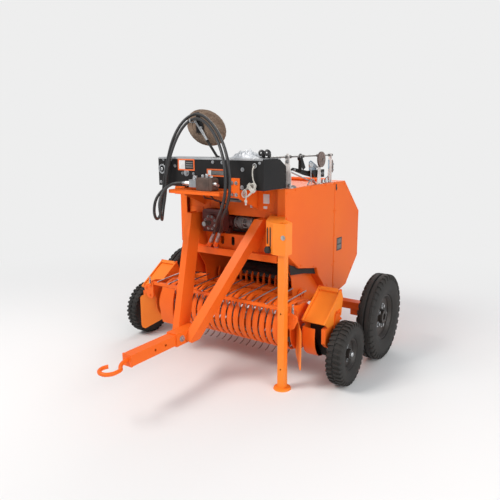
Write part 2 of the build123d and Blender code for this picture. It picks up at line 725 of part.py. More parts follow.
# Tying gear along the left top edge: plates, a long shaft, a pulley and the swinging guide
gear_line = 441.0
shaft_z = 1502.0
with BuildPart() as tying_plates:
    for y, high, foot in ((-530, 1524, 50), (-345, 1516, 64), (128, 1516, 40)):
        with BuildSketch(Plane(origin=(gear_line, at(y), 0), x_dir=(1, 0, 0), z_dir=(0, -1, 0))):
            profile([(-foot / 2, top_z), (-foot / 2, top_z + 110), (-13, high), (13, high), (foot / 2, top_z + 110),
                     (foot / 2, top_z)])
            with Locations((0, shaft_z)):
                Circle(6.1, mode=Mode.SUBTRACT)
        extrude(amount=6)
        with BuildSketch(Plane(origin=(gear_line, at(y + 12), top_z))):
            Rectangle(foot, 36)
        extrude(amount=4)
pulley_y = -60.0
pulley_z = 1473.0
with BuildPart() as tying_shafts:
    with BuildSketch(Plane(origin=(gear_line, at(150), shaft_z), x_dir=(1, 0, 0), z_dir=(0, -1, 0))):
        Circle(6)
    extrude(amount=890)
    with BuildSketch(side_plane(gear_line + 3)):
        with Locations((pulley_y, pulley_z)):
            Circle(8)
    extrude(amount=28)

with BuildPart() as tying_pulley:
    with BuildSketch(Plane(origin=(gear_line + 17, at(pulley_y), pulley_z), x_dir=(1, 0, 0), z_dir=(0, -1, 0))):
        with BuildLine():
            Polyline((-7, 7.5), (7, 7.5), (7, 57), (2, 50), (-2, 50), (-7, 57), (-7, 7.5))
        make_face()
    revolve(axis=Axis((gear_line + 17, at(pulley_y), pulley_z), (1, 0, 0)))
    add(tying_shafts.part)
finish(tying_pulley.part, "tying_shafts")

with BuildPart() as guide_arm:
    with BuildSketch(side_plane(gear_line - 38)):
        profile([(-470, 1350), (-470, 1374), (-340, 1392), (45, 1434), (45, 1404), (-340, 1366)])
    extrude(amount=6)
finish(guide_arm.part, "guide_arm")

with BuildPart() as pulley_plate:
    with BuildSketch(side_plane(gear_line - 3)):
        profile([(pulley_y - 30, top_z), (pulley_y - 14, 1490), (pulley_y + 14, 1490), (pulley_y + 30, top_z)])
    extrude(amount=6)
    with BuildSketch(Plane(origin=(gear_line, at(pulley_y), top_z))):
        Rectangle(44, 60)
    extrude(amount=4)
    add(tying_plates.part)
finish(pulley_plate.part, "tying_plates")

# Pickup frame: end plates, rear tube, front bar and the two arms it swings on
end_x = pickup_w / 2 - end_t
arm_t = 12.0
with BuildPart() as pickup_frame:
    with BuildSketch(side_plane(end_x)):
        with Locations((reel_y, reel_z)):
            Circle(160)
        profile([(reel_y - 120, reel_z - 60), (guard_y - 18, guard_z - 30), (guard_y - 18, guard_z + 18),
                 (guard_y + 22, guard_z + 22), (reel_y + 10, reel_z + 150), (reel_y, reel_z)])
        profile([(reel_y - 20, reel_z - 158), (tube_y + 20, tube_z - 24), (tube_y + 28, tube_z + 6), (tube_y + 10, tube_z + 40),
                 (reel_y + 120, reel_z + 90), (reel_y, reel_z)])
        with Locations((reel_y, reel_z)):
            Circle(reel_shaft_r + pivot_play, mode=Mode.SUBTRACT)
    extrude(amount=end_t)
    with BuildSketch(side_plane(half_in + wall_t + arm_gap)):
        with Locations((rotor_y, rotor_z)):
            Circle(boss_r + 14)
        profile([(tube_y - 8, tube_z + 20), (tube_y + 8, tube_z - 26), (rotor_y + 38, rotor_z - 22), (rotor_y - 24, rotor_z + 36)])
        with Locations((rotor_y, rotor_z)):
            Circle(boss_r + pivot_play, mode=Mode.SUBTRACT)
    extrude(amount=arm_t)
    with BuildSketch(side_plane(0)):
        with Locations((tube_y, tube_z)):
            Circle(tube_r)
    extrude(amount=pickup_w / 2)
    with BuildSketch(side_plane(0)):
        with Locations((guard_y, guard_z)):
            Rectangle(guard_s, guard_s)
            with Locations((3, -3)):
                Rectangle(guard_s - 4, guard_s - 4, mode=Mode.SUBTRACT)
    extrude(amount=end_x + 1)
    mirror(about=Plane.YZ)
finish(pickup_frame.part, "pickup_frame")

# Bands round the reel: each wraps it from the tube below to the top, then ramps to the feeder
band_turn = 90 + 180 - degrees(atan2(reel_z - tube_z, tube_y - reel_y))
band_face = [(-band_w / 2, band_r - band_crown), (-band_w / 4, band_r - 1), (0, band_r), (band_w / 4, band_r - 1),
             (band_w / 2, band_r - band_crown)]
band_face = band_face + [(x, r - band_t) for x, r in reversed(band_face)]
tab_turn = degrees(atan2(tube_z - reel_z, tube_y - reel_y))
tab_reach = hypot(tube_y - reel_y, tube_z - reel_z) - tube_r
band_xs = [tine_pitch * (i - (bands - 1) / 2) for i in range(bands)]
tab_plane = Plane(origin=(0, at(reel_y), reel_z), x_dir=(1, 0, 0), z_dir=(0, cos(radians(tab_turn)), sin(radians(tab_turn))))
with BuildPart() as pickup_bands:
    for back, run in ((0, 0), (1, 170)):
        with BuildSketch(Plane(origin=(0, at(reel_y) - back, reel_z), x_dir=(1, 0, 0), z_dir=(0, -1, 0))):
            for x in band_xs:
                profile([(x + dx, r) for dx, r in band_face])
        if run:
            extrude(amount=run, dir=(0, 0.985, -0.172))
        else:
            revolve(axis=Axis((0, at(reel_y), reel_z), (1, 0, 0)), revolution_arc=band_turn)
    with BuildSketch(tab_plane.offset(band_r - band_t - 2)):
        with Locations(*[(x, 0) for x in band_xs]):
            Rectangle(20, 8)
    extrude(amount=tab_reach - band_r + band_t + 2)
finish(pickup_bands.part, "pickup_bands")

# Reel: a tube with spiders and rows of spring tines that pass between the bands
row_angles = [262.0 - 360.0 / tine_rows * i for i in range(tine_rows)]
row_roots = [(reel_y + row_r * cos(radians(a)), reel_z + row_r * sin(radians(a))) for a in row_angles]
with BuildPart() as reel_core:
    for radius, reach in ((reel_tube_r, end_x - 12), (reel_shaft_r, pickup_w / 2 + 14)):
        with BuildSketch(side_plane(0)):
            with Locations((reel_y, reel_z)):
                Circle(radius)
        extrude(amount=reach, both=True)
    with BuildSketch(side_plane(0)):
        with Locations(*row_roots):
            Circle(row_bar_r)
    extrude(amount=end_x - 15, both=True)
    for x in [(end_x - 55) * share for share in (-1, -0.5, 0, 0.5, 1)]:
        with BuildSketch(side_plane(x - 3)):
            with Locations((reel_y, reel_z)):
                Circle(58)
            for angle, root in zip(row_angles, row_roots):
                with Locations(Location(((reel_y + root[0]) / 2, (reel_z + root[1]) / 2), angle)):
                    Rectangle(row_r, 44)
            with Locations(*row_roots):
                Circle(22)
        extrude(amount=6)
finish(reel_core.part, "reel_core")

tine_lean = 14.0
tine_xs = [tine_pitch * (i - (tines_in_row - 1) / 2) for i in range(tines_in_row)]
with BuildPart() as reel_tines:
    for angle, root in zip(row_angles, row_roots):
        turn = radians(angle + tine_lean)
        heading = (cos(turn), sin(turn))
        lead = row_r * cos(radians(tine_lean))
        length = -lead + (lead ** 2 - row_r ** 2 + tine_tip_r ** 2) ** 0.5
        start = Plane(origin=(0, at(root[0]), root[1]), x_dir=(1, 0, 0), z_dir=(0, heading[0], heading[1]))
        with BuildSketch(start.offset(row_bar_r)):
            with Locations(*[(x, 0) for x in tine_xs]):
                RegularPolygon(tine_r, 6)
        extrude(amount=length - row_bar_r)
        with BuildSketch(start):
            with Locations(*[(x, row_bar_r + 2.6) for x in tine_xs]):
                Rectangle(16, 5)
        revolve(axis=Axis((0, at(root[0]), root[1]), (1, 0, 0)))
finish(reel_tines.part, "reel_tines")

# Wind guard rods over the reel
with BuildPart() as guard_fingers:
    for i in range(guard_rods):
        x = 2 * tine_pitch * (i - (guard_rods - 1) / 2)
        with BuildLine() as rod:
            Polyline((x, at(guard_y - 8), guard_z + guard_s / 2 + guard_rod_r), (x, at(guard_y + 130), guard_z + 26),
                     (x, at(guard_y + 346), guard_z + 34))
        with BuildSketch(Plane(origin=(x, at(guard_y - 8), guard_z + guard_s / 2 + guard_rod_r), x_dir=(1, 0, 0), z_dir=(0, 1, 0))):
            RegularPolygon(guard_rod_r, 8)
        sweep(path=rod.wires()[0], transition=Transition.RIGHT)
finish(guard_fingers.part, "guard_rods")

# Wing plates that steer the swath in
wing_in = (pickup_w / 2, -695.0)
wing_out = (pickup_w / 2 + 111, -825.0)
wing_run = hypot(wing_out[0] - wing_in[0], wing_out[1] - wing_in[1])
with BuildPart() as wings:
    wing_dir = ((wing_out[0] - wing_in[0]) / wing_run, (wing_out[1] - wing_in[1]) / wing_run)
    with BuildSketch(Plane(origin=(wing_in[0], at(wing_in[1]), 0), x_dir=(*wing_dir, 0), z_dir=(wing_dir[1], -wing_dir[0], 0))):
        profile([(0, 205), (wing_run - 30, 138), (wing_run - 8, 148), (wing_run, 172), (wing_run, 392), (wing_run - 10, 410),
                 (0, 470)])
    extrude(amount=-4)

# Sloping covers at the ends of the pickup, each on a tube that also carries a gauge wheel
cover_in = pickup_w / 2 + 49
cover_out = pickup_w / 2 + 219
slope = [(-700, 440), (-455, 612)]
cross_at = (-520.0, 450.0)
flange_t = 8.0
with BuildPart() as end_cover:
    with BuildSketch(side_plane(cover_in)):
        profile([slope[0], slope[1], (slope[1][0] + 2, slope[1][1] - 4), (slope[0][0] + 2, slope[0][1] - 4)])
    extrude(amount=cover_out - cover_in)
    for x in (cover_in, cover_out - 4):
        with BuildSketch(side_plane(x)):
            profile([slope[0], slope[1], (-430, 560), (-450, 440), (-560, 400), (-660, 410)])
        extrude(amount=4)
    with BuildSketch(side_plane(cover_in)):
        with Locations(cross_at):
            Circle(20.1)
    extrude(amount=cover_out - cover_in, mode=Mode.SUBTRACT)
    add(wings.part)
    mirror(about=Plane.YZ)
finish(end_cover.part, "pickup_shields")

stub_to = gauge_x + 30
with BuildPart() as gauge_arm:
    with BuildSketch(side_plane(pickup_w / 2)):
        with Locations(cross_at):
            Circle(20)
    extrude(amount=cover_out - pickup_w / 2)
    with BuildSketch(side_plane(cover_out)):
        profile([(cross_at[0] + 40, cross_at[1] + 40), (cross_at[0] - 40, cross_at[1] + 24), (-gauge_ahead - 34, gauge_d / 2 + 40),
                 (-gauge_ahead - 26, gauge_d / 2 - 24), (-gauge_ahead + 26, gauge_d / 2 - 24), (-gauge_ahead + 38, gauge_d / 2 + 40)])
        with Locations(*[(cross_at[0] + 6 - 9 * i, cross_at[1] - 56 - 30 * i) for i in range(4)]):
            Circle(7, mode=Mode.SUBTRACT)
    extrude(amount=flange_t)
    with BuildSketch(side_plane(cover_out + flange_t)):
        with Locations((-gauge_ahead, gauge_d / 2)):
            Circle(stub_r)
    extrude(amount=stub_to - cover_out - flange_t)
    mirror(about=Plane.YZ)
finish(gauge_arm.part, "gauge_arms")

# Feeder rotor with hooked fingers, and the pan under it
finger_face = [(26, -14), (70, -9), (104, -16), (rotor_tip_r - 1, -8), (104, 4), (72, 12), (26, 14)]
with BuildPart() as feeder:
    with BuildSketch(side_plane(0)):
        for row in range(finger_rows):
            turn = radians(90 + row * 360 / finger_rows)
            profile([(rotor_y + r * cos(turn) - t * sin(turn), rotor_z + r * sin(turn) + t * cos(turn))
                     for r, t in finger_face])
    extrude(amount=finger_pitch * (fingers_in_row - 1) / 2 + finger_t / 2, both=True)
    with BuildSketch(Plane(origin=(0, at(rotor_y), rotor_z), x_dir=(1, 0, 0), z_dir=(0, -1, 0))):
        with Locations(*[(finger_pitch * (i - fingers_in_row / 2), rotor_tip_r / 2 + 10) for i in range(1, fingers_in_row)]):
            Rectangle(finger_pitch - finger_t, rotor_tip_r + 16)
    revolve(axis=Axis((0, at(rotor_y), rotor_z), (1, 0, 0)), mode=Mode.SUBTRACT)
    for radius, reach in ((rotor_tube_r, half_in - 5), (rotor_shaft_r, half_in + wall_t + arm_gap - shaft_back)):
        with BuildSketch(side_plane(0)):
            with Locations((rotor_y, rotor_z)):
                Circle(radius)
        extrude(amount=reach, both=True)
finish(feeder.part, "feeder_rotor")

pan_arc = [(rotor_y + (rotor_tip_r + 9) * cos(radians(a)), rotor_z + (rotor_tip_r + 9) * sin(radians(a)))
           for a in range(216, 292, 15)]
pan_top = pan_arc + [(-60, 407), (44, 407)]
pan_low = [(y + 1.5, z - sheet_t) for y, z in reversed(pan_top)]
with BuildPart() as feeder_pan:
    with BuildSketch(side_plane(-half_in)):
        profile(pan_top + pan_low)
    extrude(amount=inner_w)
finish(feeder_pan.part, "feeder_pan")

# Couplings of the hoses, parked in two holders on the cross tube
coupling_rows = [((-201.5, -602.0, 825.5), (-94.0, -667.0, 948.0)), ((-137.0, -602.0, 827.5), (-42.0, -667.0, 960.0))]
hose_r = 10.0
with BuildPart() as couplings:
    for low, high in coupling_rows:
        axis = Vector(*high) - Vector(*low)
        base = Plane(origin=(low[0], at(low[1]), low[2]), z_dir=axis)
        grip = axis.length * 0.55
        for start, length, radius in ((22, grip - 8, 18), (grip, axis.length - grip - 34, 15), (axis.length - 46, 46, hose_r + 3)):
            with BuildSketch(base.offset(start)):
                Circle(radius)
            extrude(amount=length)
        with BuildSketch(Plane(origin=(low[0], at(front_y - cross_tube / 2) - 3, cross_tube_z + cross_tube / 2 + 3))):
            Circle(17)
        extrude(amount=22)
finish(couplings.part, "hose_couplings")

# The two hoses: from the valve, down in a loop, up over the post's hook and down to the couplings
hose_a = [(-129, -905, 1330), (-196, -905, 1330), (-256, -958, 1308), (-290, -1040, 1235),
          (-306, -1052, 1130), (-345, -985, 1060), (-392, -890, 1098), (-394, -872, 1205),
          (-376, -870, 1310), (-352, -868, 1415), (-330, -858, 1520), (-312, -832, 1620),
          (-284, -796, 1706), (-240, -766, 1764), (-176, -748, 1794), (-98, -762, 1780),
          (-4, -800, 1737), (94, -850, 1675), (176, -900, 1604), (238, -940, 1524), (278, -968, 1436),
          (290, -978, 1345), (268, -958, 1255), (202, -908, 1170), (110, -834, 1090), (-4, -693, 1013),
          (-42, -667, 960)]
hose_b = [(-129, -945, 1330), (-198, -945, 1330), (-236, -998, 1300), (-232, -1068, 1222),
          (-218, -1080, 1138), (-262, -1020, 1075), (-332, -944, 1072), (-364, -898, 1134),
          (-348, -886, 1240), (-336, -886, 1345), (-318, -880, 1450), (-298, -858, 1548),
          (-276, -824, 1640), (-246, -790, 1710), (-202, -770, 1749), (-148, -768, 1761),
          (-80, -786, 1746), (4, -826, 1710), (88, -874, 1656), (162, -920, 1592), (222, -960, 1516),
          (258, -986, 1436), (268, -994, 1350), (246, -974, 1264), (184, -926, 1176), (88, -852, 1096),
          (-51, -693, 997), (-94, -667, 948)]

# A spare rope on the box, from its eyelet down into a tied hank
rope_r = 3.5
rope = [(385, -840, 1452), (385, -862, 1452), (379, -864, 1402), (386, -858, 1350), (413, -859, 1322),
        (333, -860, 1244), (305, -861, 1273), (388, -867, 1357), (420, -868, 1324), (339, -869, 1246),
        (307, -870, 1279), (386, -876, 1353), (415, -877, 1322), (332, -878, 1242), (303, -879, 1272),
        (337, -885, 1312), (352, -886, 1284), (343, -884, 1236)]


def bend_radii(points):
    """The largest arc that each corner of a route has room for."""
    radii = []
    for a, b, c in zip(points, points[1:], points[2:]):
        into, out = Vector(*b) - Vector(*a), Vector(*c) - Vector(*b)
        radii.append(0.45 * min(into.length, out.length) / tan(radians(into.get_angle(out)) / 2))
    return radii


def cord(points, label, section_r):
    """A tube along a route of straight runs and tangent arcs."""
    route = [(x, at(y), z) for x, y, z in points]
    radii = bend_radii(points)
    print(label, "bend radii", [round(r) for r in radii])
    with BuildPart() as made:
        with BuildLine() as path:
            FilletPolyline(*route, radius=radii)
        with BuildSketch(Plane(origin=route[0], z_dir=Vector(*route[1]) - Vector(*route[0]))):
            Circle(section_r)
        sweep(path=path.wires()[0])
    print(label, "length", round(path.wires()[0].length), "volume over section", round(made.part.volume / (pi * section_r ** 2)))
    finish(made.part, label)


cord(hose_a, "hose_a", hose_r)
cord(hose_b, "hose_b", hose_r)
cord(rope, "rope", rope_r)
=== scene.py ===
# %% [markdown]
# A compact round baler stands parked on its leg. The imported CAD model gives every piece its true
# size and place. This script dresses it: it paints the sheet metal, gives the tyres their tread,
# hangs the hoses and the rope, and adds bolts, springs and small castings.

# %% The frame that everything is built around
import bpy
import bmesh
import math
from mathutils import Matrix, Vector, noise


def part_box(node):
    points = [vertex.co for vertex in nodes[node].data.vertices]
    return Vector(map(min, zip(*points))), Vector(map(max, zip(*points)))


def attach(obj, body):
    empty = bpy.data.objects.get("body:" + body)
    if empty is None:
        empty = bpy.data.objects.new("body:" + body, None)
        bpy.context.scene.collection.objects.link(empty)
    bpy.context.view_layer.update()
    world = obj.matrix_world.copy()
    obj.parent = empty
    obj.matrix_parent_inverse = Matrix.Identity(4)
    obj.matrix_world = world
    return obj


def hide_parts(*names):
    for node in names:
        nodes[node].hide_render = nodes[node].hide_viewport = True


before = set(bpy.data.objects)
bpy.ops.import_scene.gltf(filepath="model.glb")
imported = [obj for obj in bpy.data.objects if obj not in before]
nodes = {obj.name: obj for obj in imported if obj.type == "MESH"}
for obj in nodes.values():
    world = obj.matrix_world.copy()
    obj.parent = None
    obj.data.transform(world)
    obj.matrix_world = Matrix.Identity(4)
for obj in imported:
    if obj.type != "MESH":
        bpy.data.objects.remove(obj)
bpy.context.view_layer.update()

main_low, main_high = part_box("main_tyre_left")
axle_y = (main_low.y + main_high.y) / 2
print("axle at", round(axle_y, 4), "nodes", len(nodes))


def at(y):
    """A distance in metres behind the axle as a Y in the frame."""
    return axle_y + y


def linked(name, data):
    """A new object of some data, linked to the scene."""
    thing = bpy.data.objects.new(name, data)
    bpy.context.scene.collection.objects.link(thing)
    return thing


# %% [markdown]
# The camera stands where the photographer stood: a little above the twine box, in front and to the
# left. Its lens and shift came from fitting the wheels, the leg and the drawbar to the picture.

# %% Camera
camera_data = bpy.data.cameras.new("camera")
camera_data.lens = 36.45
camera_data.sensor_width = 36.0
camera_data.shift_x = -0.0305
camera_data.shift_y = -0.0171
camera_data.clip_end = 200.0
camera = linked("camera", camera_data)
dip, turn_left = 11.047, 32.845
camera.location = (2.186, at(-3.511), 1.596)
camera.rotation_euler = (math.radians(90 - dip), 0, math.radians(turn_left))
bpy.context.scene.camera = camera
print("camera", round(camera_data.lens, 1), "mm, looking down", round(dip), "degrees")


# %% [markdown]
# Node materials are long when written out by hand, so a few helpers keep them short. They add a
# node, set its inputs or link them, and mix two shaders. The last makes the base of every finish:
# a shader whose colour drifts a little over the object, as paint and rubber do, and a fine bump.

# %% Helpers for materials
def feed(socket, value):
    """Gives an input a plain value, or a link from another node's output."""
    if isinstance(value, bpy.types.NodeSocket):
        socket.id_data.links.new(value, socket)
    else:
        socket.default_value = value


def add_node(tree, kind, settings=None, **inputs):
    """A node of that kind, with plain settings and with inputs given by their names."""
    node = tree.nodes.new(kind)
    for key, value in (settings or {}).items():
        setattr(node, key, value)
    for key, value in inputs.items():
        feed(node.inputs[key.replace("_", " ")], value)
    return node


def calculated(tree, operation, first, second):
    """The output of a math node fed with two numbers or outputs."""
    node = add_node(tree, "ShaderNodeMath", {"operation": operation})
    feed(node.inputs[0], first)
    feed(node.inputs[1], second)
    return node.outputs[0]


def mixed(tree, share, first, second):
    """The output of a mix of two shaders."""
    node = add_node(tree, "ShaderNodeMixShader", Fac=share)
    feed(node.inputs[1], first)
    feed(node.inputs[2], second)
    return node.outputs[0]


def finish(name, colour, second, rough, metallic=0.0, drift=3.0, grain=180.0,
           bump=0.06, coat=0.0, specular=0.5):
    """A finish that drifts between two colours over Object coordinates, with a grainy bump."""
    material = bpy.data.materials.new(name)
    material.use_nodes = True
    tree = material.node_tree
    where = add_node(tree, "ShaderNodeTexCoord").outputs["Object"]
    slow = add_node(tree, "ShaderNodeTexNoise", Vector=where, Scale=drift,
                    Detail=6.0, Roughness=0.6)
    ramp = add_node(tree, "ShaderNodeValToRGB", Fac=slow.outputs["Fac"])
    for stop, share, tint in zip(ramp.color_ramp.elements, (0.34, 0.68), (colour, second)):
        stop.position = share
        stop.color = (*tint, 1)
    fine = add_node(tree, "ShaderNodeTexNoise", Vector=where, Scale=grain, Detail=3.0)
    height = add_node(tree, "ShaderNodeBump", Height=fine.outputs["Fac"],
                      Strength=bump, Distance=0.002)
    swing = 0.1
    gloss = add_node(tree, "ShaderNodeMapRange", Value=slow.outputs["Fac"],
                     To_Min=rough - swing, To_Max=rough + swing)
    settings = {"Base Color": ramp.outputs["Color"], "Roughness": gloss.outputs["Result"],
                "Normal": height.outputs["Normal"], "Metallic": metallic, "Coat Weight": coat,
                "Specular IOR Level": specular, "Coat Roughness": 0.18}
    for label, value in settings.items():
        feed(tree.nodes["Principled BSDF"].inputs[label], value)
    return material


# %% [markdown]
# Nearly all of the baler wears one orange coat. It is sprayed paint over sheet and tube, so it gets
# a trace of clear coat and an orange-peel bump. The box is black powder coat, the gearbox an oily
# dark red, and the small hardware is zinc, bare steel or rusty brown.

# %% Finishes
orange = finish("orange paint", (0.86, 0.132, 0.012), (0.90, 0.162, 0.015), 0.44, drift=1.6,
                grain=260.0, bump=0.03, coat=0.04, specular=0.2)
# A lighter, yellower copy of the orange paint: painted light for the sunlit leg, its bracket and
# the pickup's sloping covers.
painted_light_orange = finish("orange paint with painted light", (0.92, 0.225, 0.022), (0.96, 0.265, 0.028), 0.34,
                     drift=2.0, grain=260.0, bump=0.03, coat=0.06, specular=0.25)
black_coat = finish("black powder coat", (0.007, 0.0065, 0.0065), (0.013, 0.012, 0.012), 0.46,
                    drift=4.0, grain=500.0, bump=0.10, specular=0.32)
dark_red = finish("dark red gear paint", (0.085, 0.018, 0.014), (0.13, 0.030, 0.022), 0.5,
                  drift=9.0, grain=120.0, bump=0.2)
rubber = finish("tyre rubber", (0.013, 0.012, 0.011), (0.024, 0.020, 0.017), 0.74,
                drift=7.0, grain=220.0, bump=0.15)
rim_black = finish("rim paint", (0.014, 0.012, 0.011), (0.034, 0.024, 0.019), 0.5,
                   drift=10.0, grain=150.0, bump=0.1)
bare_steel = finish("rolled steel", (0.30, 0.29, 0.28), (0.42, 0.40, 0.38), 0.38, metallic=1.0,
                    drift=12.0, grain=300.0, bump=0.08)
zinc = finish("zinc plate", (0.42, 0.43, 0.44), (0.58, 0.59, 0.60), 0.42, metallic=1.0,
              drift=16.0, grain=300.0, bump=0.08)
dull_grey = finish("grey casting", (0.19, 0.185, 0.18), (0.34, 0.33, 0.32), 0.55, metallic=0.6,
                   drift=14.0, grain=120.0, bump=0.25)
brown_iron = finish("brown casting", (0.055, 0.034, 0.026), (0.115, 0.072, 0.055), 0.6,
                    drift=18.0, grain=140.0, bump=0.25)
hose_black = finish("hose rubber", (0.016, 0.016, 0.017), (0.030, 0.029, 0.029), 0.45,
                    drift=14.0, grain=600.0, bump=0.08)
twine_brown = finish("wound twine", (0.17, 0.11, 0.075), (0.30, 0.215, 0.155), 0.85,
                     drift=20.0, grain=160.0, bump=0.5)
lid_grey = finish("pale lid sheet", (0.42, 0.43, 0.44), (0.58, 0.59, 0.60), 0.38, metallic=0.7,
                  drift=8.0, grain=260.0, bump=0.05)
stand_grey = finish("grey stand paint", (0.58, 0.55, 0.53), (0.74, 0.70, 0.68), 0.5,
                    drift=14.0, grain=200.0, bump=0.08)
pulley_brown = finish("rusty pulley", (0.16, 0.115, 0.10), (0.28, 0.21, 0.19), 0.6, metallic=0.3,
                      drift=30.0, grain=200.0, bump=0.2)
strap_blue = finish("blue-grey strap", (0.30, 0.38, 0.46), (0.46, 0.54, 0.62), 0.4, metallic=0.4,
                    drift=20.0, grain=200.0, bump=0.05)
pale_label = finish("blank pale plate", (0.66, 0.66, 0.66), (0.78, 0.78, 0.77), 0.45,
                    drift=16.0, grain=300.0, bump=0.03)
dark_label = finish("black plate", (0.014, 0.014, 0.015), (0.03, 0.029, 0.029), 0.4,
                    drift=16.0, grain=300.0, bump=0.05)
sticker_orange = finish("orange frame", (0.80, 0.135, 0.03), (0.86, 0.18, 0.04), 0.45,
                        drift=16.0, grain=300.0, bump=0.03)
film = finish("clear film", (0.46, 0.48, 0.50), (0.74, 0.76, 0.79), 0.42, metallic=0.15,
              drift=30.0, grain=90.0, bump=0.15)
# The rollers inside the machine get a near-black, rough steel: painted shade for the dark seen
# behind the feeder.
painted_shade_roller_steel = finish("roller steel darkened as painted shade", (0.06, 0.055, 0.05), (0.12, 0.11, 0.10), 0.7,
                      metallic=0.5, drift=8.0, grain=60.0, bump=0.1)
dark_spring = finish("spring steel", (0.24, 0.225, 0.21), (0.38, 0.355, 0.33), 0.45, metallic=0.8,
                     drift=30.0, grain=200.0, bump=0.1)
rope_white = finish("white rope", (0.50, 0.47, 0.42), (0.68, 0.65, 0.60), 0.8,
                    drift=30.0, grain=420.0, bump=0.5)

painted = {
    orange: ["box_brackets", "chamber_walls", "drawbar", "feeder_pan", "feeder_rotor",
             "front_and_top_skin", "front_frame", "gate_covers", "gate_skin", "gate_walls",
             "gauge_arms", "hinge_bar", "hitch_hook", "pickup_bands", "pickup_frame",
             "side_covers", "tongue"],
    # The lighter orange paints sunlight onto the leg, its bracket and the pickup's slopes.
    painted_light_orange: ["leg_bracket", "parking_leg", "pickup_shields"],
    black_coat: ["twine_box", "guide_arm", "hose_post"],
    dark_red: ["gearbox"],
    rubber: ["gauge_tyre_left", "gauge_tyre_right", "main_tyre_left", "main_tyre_right"],
    rim_black: ["gauge_rim_left", "gauge_rim_right", "main_rim_left", "main_rim_right", "axle"],
    # The chamber and gate rollers are darkened as painted shade.
    painted_shade_roller_steel: ["chamber_rollers", "gate_rollers"],
    bare_steel: ["reel_core", "input_shaft", "tying_shafts"],
    zinc: ["guard_rods", "valve_fittings", "hose_couplings", "tying_plates"],
    dark_spring: ["reel_tines"],
    dull_grey: ["cross_shaft"],
    brown_iron: ["valve_block"],
    twine_brown: ["twine_ball"],
    hose_black: ["hose_a", "hose_b"],
}
for material, names in painted.items():
    for name in names:
        mesh = nodes[name].data
        mesh.materials.clear()
        mesh.materials.append(material)
print("finishes", len(painted), "on", sum(len(names) for names in painted.values()), "nodes")


# %% [markdown]
# The studio is a pale floor that melts into a pale world. Far from the baler the floor turns into
# plain light of the background's colour, so no horizon shows; near it, it takes the soft shadow.

# %% Floor and world
backdrop = (0.855, 0.855, 0.855, 1)
world = bpy.data.worlds.new("studio")
bpy.context.scene.world = world
world.use_nodes = True
sky = world.node_tree
sky_light = sky.nodes["Background"]
feed(sky_light.inputs["Color"], (0.92, 0.95, 1.0, 1))
feed(sky_light.inputs["Strength"], 0.52)
seen = add_node(sky, "ShaderNodeBackground", Color=backdrop, Strength=1.0)
path = add_node(sky, "ShaderNodeLightPath").outputs
either = calculated(sky, "MAXIMUM", path["Is Camera Ray"], path["Is Transmission Ray"])
feed(sky.nodes["World Output"].inputs["Surface"],
     mixed(sky, either, sky_light.outputs[0], seen.outputs[0]))

floor_mesh = bpy.data.meshes.new("floor")
reach = 60.0
corners = [(-reach, -reach, 0), (reach, -reach, 0), (reach, reach, 0), (-reach, reach, 0)]
floor_mesh.from_pydata(corners, [], [(0, 1, 2, 3)])
floor = linked("floor", floor_mesh)
floor_paint = bpy.data.materials.new("pale floor")
floor_paint.use_nodes = True
tree = floor_paint.node_tree
shader = tree.nodes["Principled BSDF"]
for label, value in (("Base Color", (0.80, 0.80, 0.80, 1)), ("Roughness", 0.9),
                     ("Specular IOR Level", 0.0)):
    feed(shader.inputs[label], value)
far_light = add_node(tree, "ShaderNodeEmission", Color=backdrop, Strength=1.0)
spot = add_node(tree, "ShaderNodeTexCoord").outputs["Object"]
distance = add_node(tree, "ShaderNodeVectorMath", {"operation": "LENGTH"})
feed(distance.inputs[0], spot)
near_edge, far_edge = 1.6, 4.5
fade = add_node(tree, "ShaderNodeMapRange", {"interpolation_type": "SMOOTHSTEP"},
                Value=distance.outputs["Value"], From_Min=near_edge, From_Max=far_edge)
camera_ray = add_node(tree, "ShaderNodeLightPath").outputs["Is Camera Ray"]
fade_seen = calculated(tree, "MULTIPLY", fade.outputs["Result"], camera_ray)
feed(tree.nodes["Material Output"].inputs["Surface"],
     mixed(tree, fade_seen, shader.outputs[0], far_light.outputs[0]))
floor_mesh.materials.append(floor_paint)
print("floor", 2 * reach, "m across")

bpy.context.scene.view_settings.view_transform = "Standard"


# %% [markdown]
# Outdoors the sun stood high, ahead of the machine on its right. One large area lamp plays it. A
# weaker one fills the left side, and a third lifts the edges from behind.

# %% Lamps
lamps = {"key": ((-2.6, -4.2, 6.0), 0.8, 2.6, 330, (1.0, 0.965, 0.92)),
         "fill": ((5.6, -1.6, 2.8), 0.8, 4.0, 185, (1.0, 0.985, 0.96)),
         "back": ((-1.5, 5.5, 4.5), 0.9, 4.0, 130, (1.0, 0.98, 0.95))}
for name, (lamp_place, aim_height, size, watts, colour) in lamps.items():
    lamp = bpy.data.lights.new(name, "AREA")
    lamp.size = size
    lamp.energy = watts
    lamp.color = colour
    holder = linked(name, lamp)
    holder.location = lamp_place
    aim = Vector((0, 0, aim_height)) - holder.location
    holder.rotation_euler = aim.to_track_quat("-Z", "Y").to_euler()
print("lamps", list(lamps))


# %% [markdown]
# Every dressed piece starts as a small mesh in code. Three helpers cover nearly all of them: a form
# turned round a line, a plate cut to an outline, and a bar bent along points. Lathe, sheet-metal
# shears and bar bender are how the real parts were made, so the meshes get the right edges.

# %% Helpers for places and directions
right, back, up = Vector((1, 0, 0)), Vector((0, 1, 0)), Vector((0, 0, 1))
forward = -back
hands = (("left", 1), ("right", -1))


def mm(x, y, z):
    """A point in millimetres, Y measured behind the axle, as metres in the frame."""
    return Vector((x / 1000, at(y / 1000), z / 1000))


def side_axes(direction, before=None):
    """Two directions square to this one and to each other, the first kept near one before it."""
    along = direction.normalized()
    if before is None:
        before = (up if abs(along.z) < 0.9 else back).cross(along)
    else:
        before = before - along * along.dot(before)
    across = before.normalized()
    return across, along.cross(across)


def turns(count):
    """Angles spread evenly over a full turn."""
    return [2 * math.pi * i / count for i in range(count)]


def arc_points(centre, across, rise, radius, angles):
    """Points round a centre, at a radius in millimetres and at angles in radians."""
    return [centre + (across * math.cos(t) + rise * math.sin(t)) * radius / 1000 for t in angles]


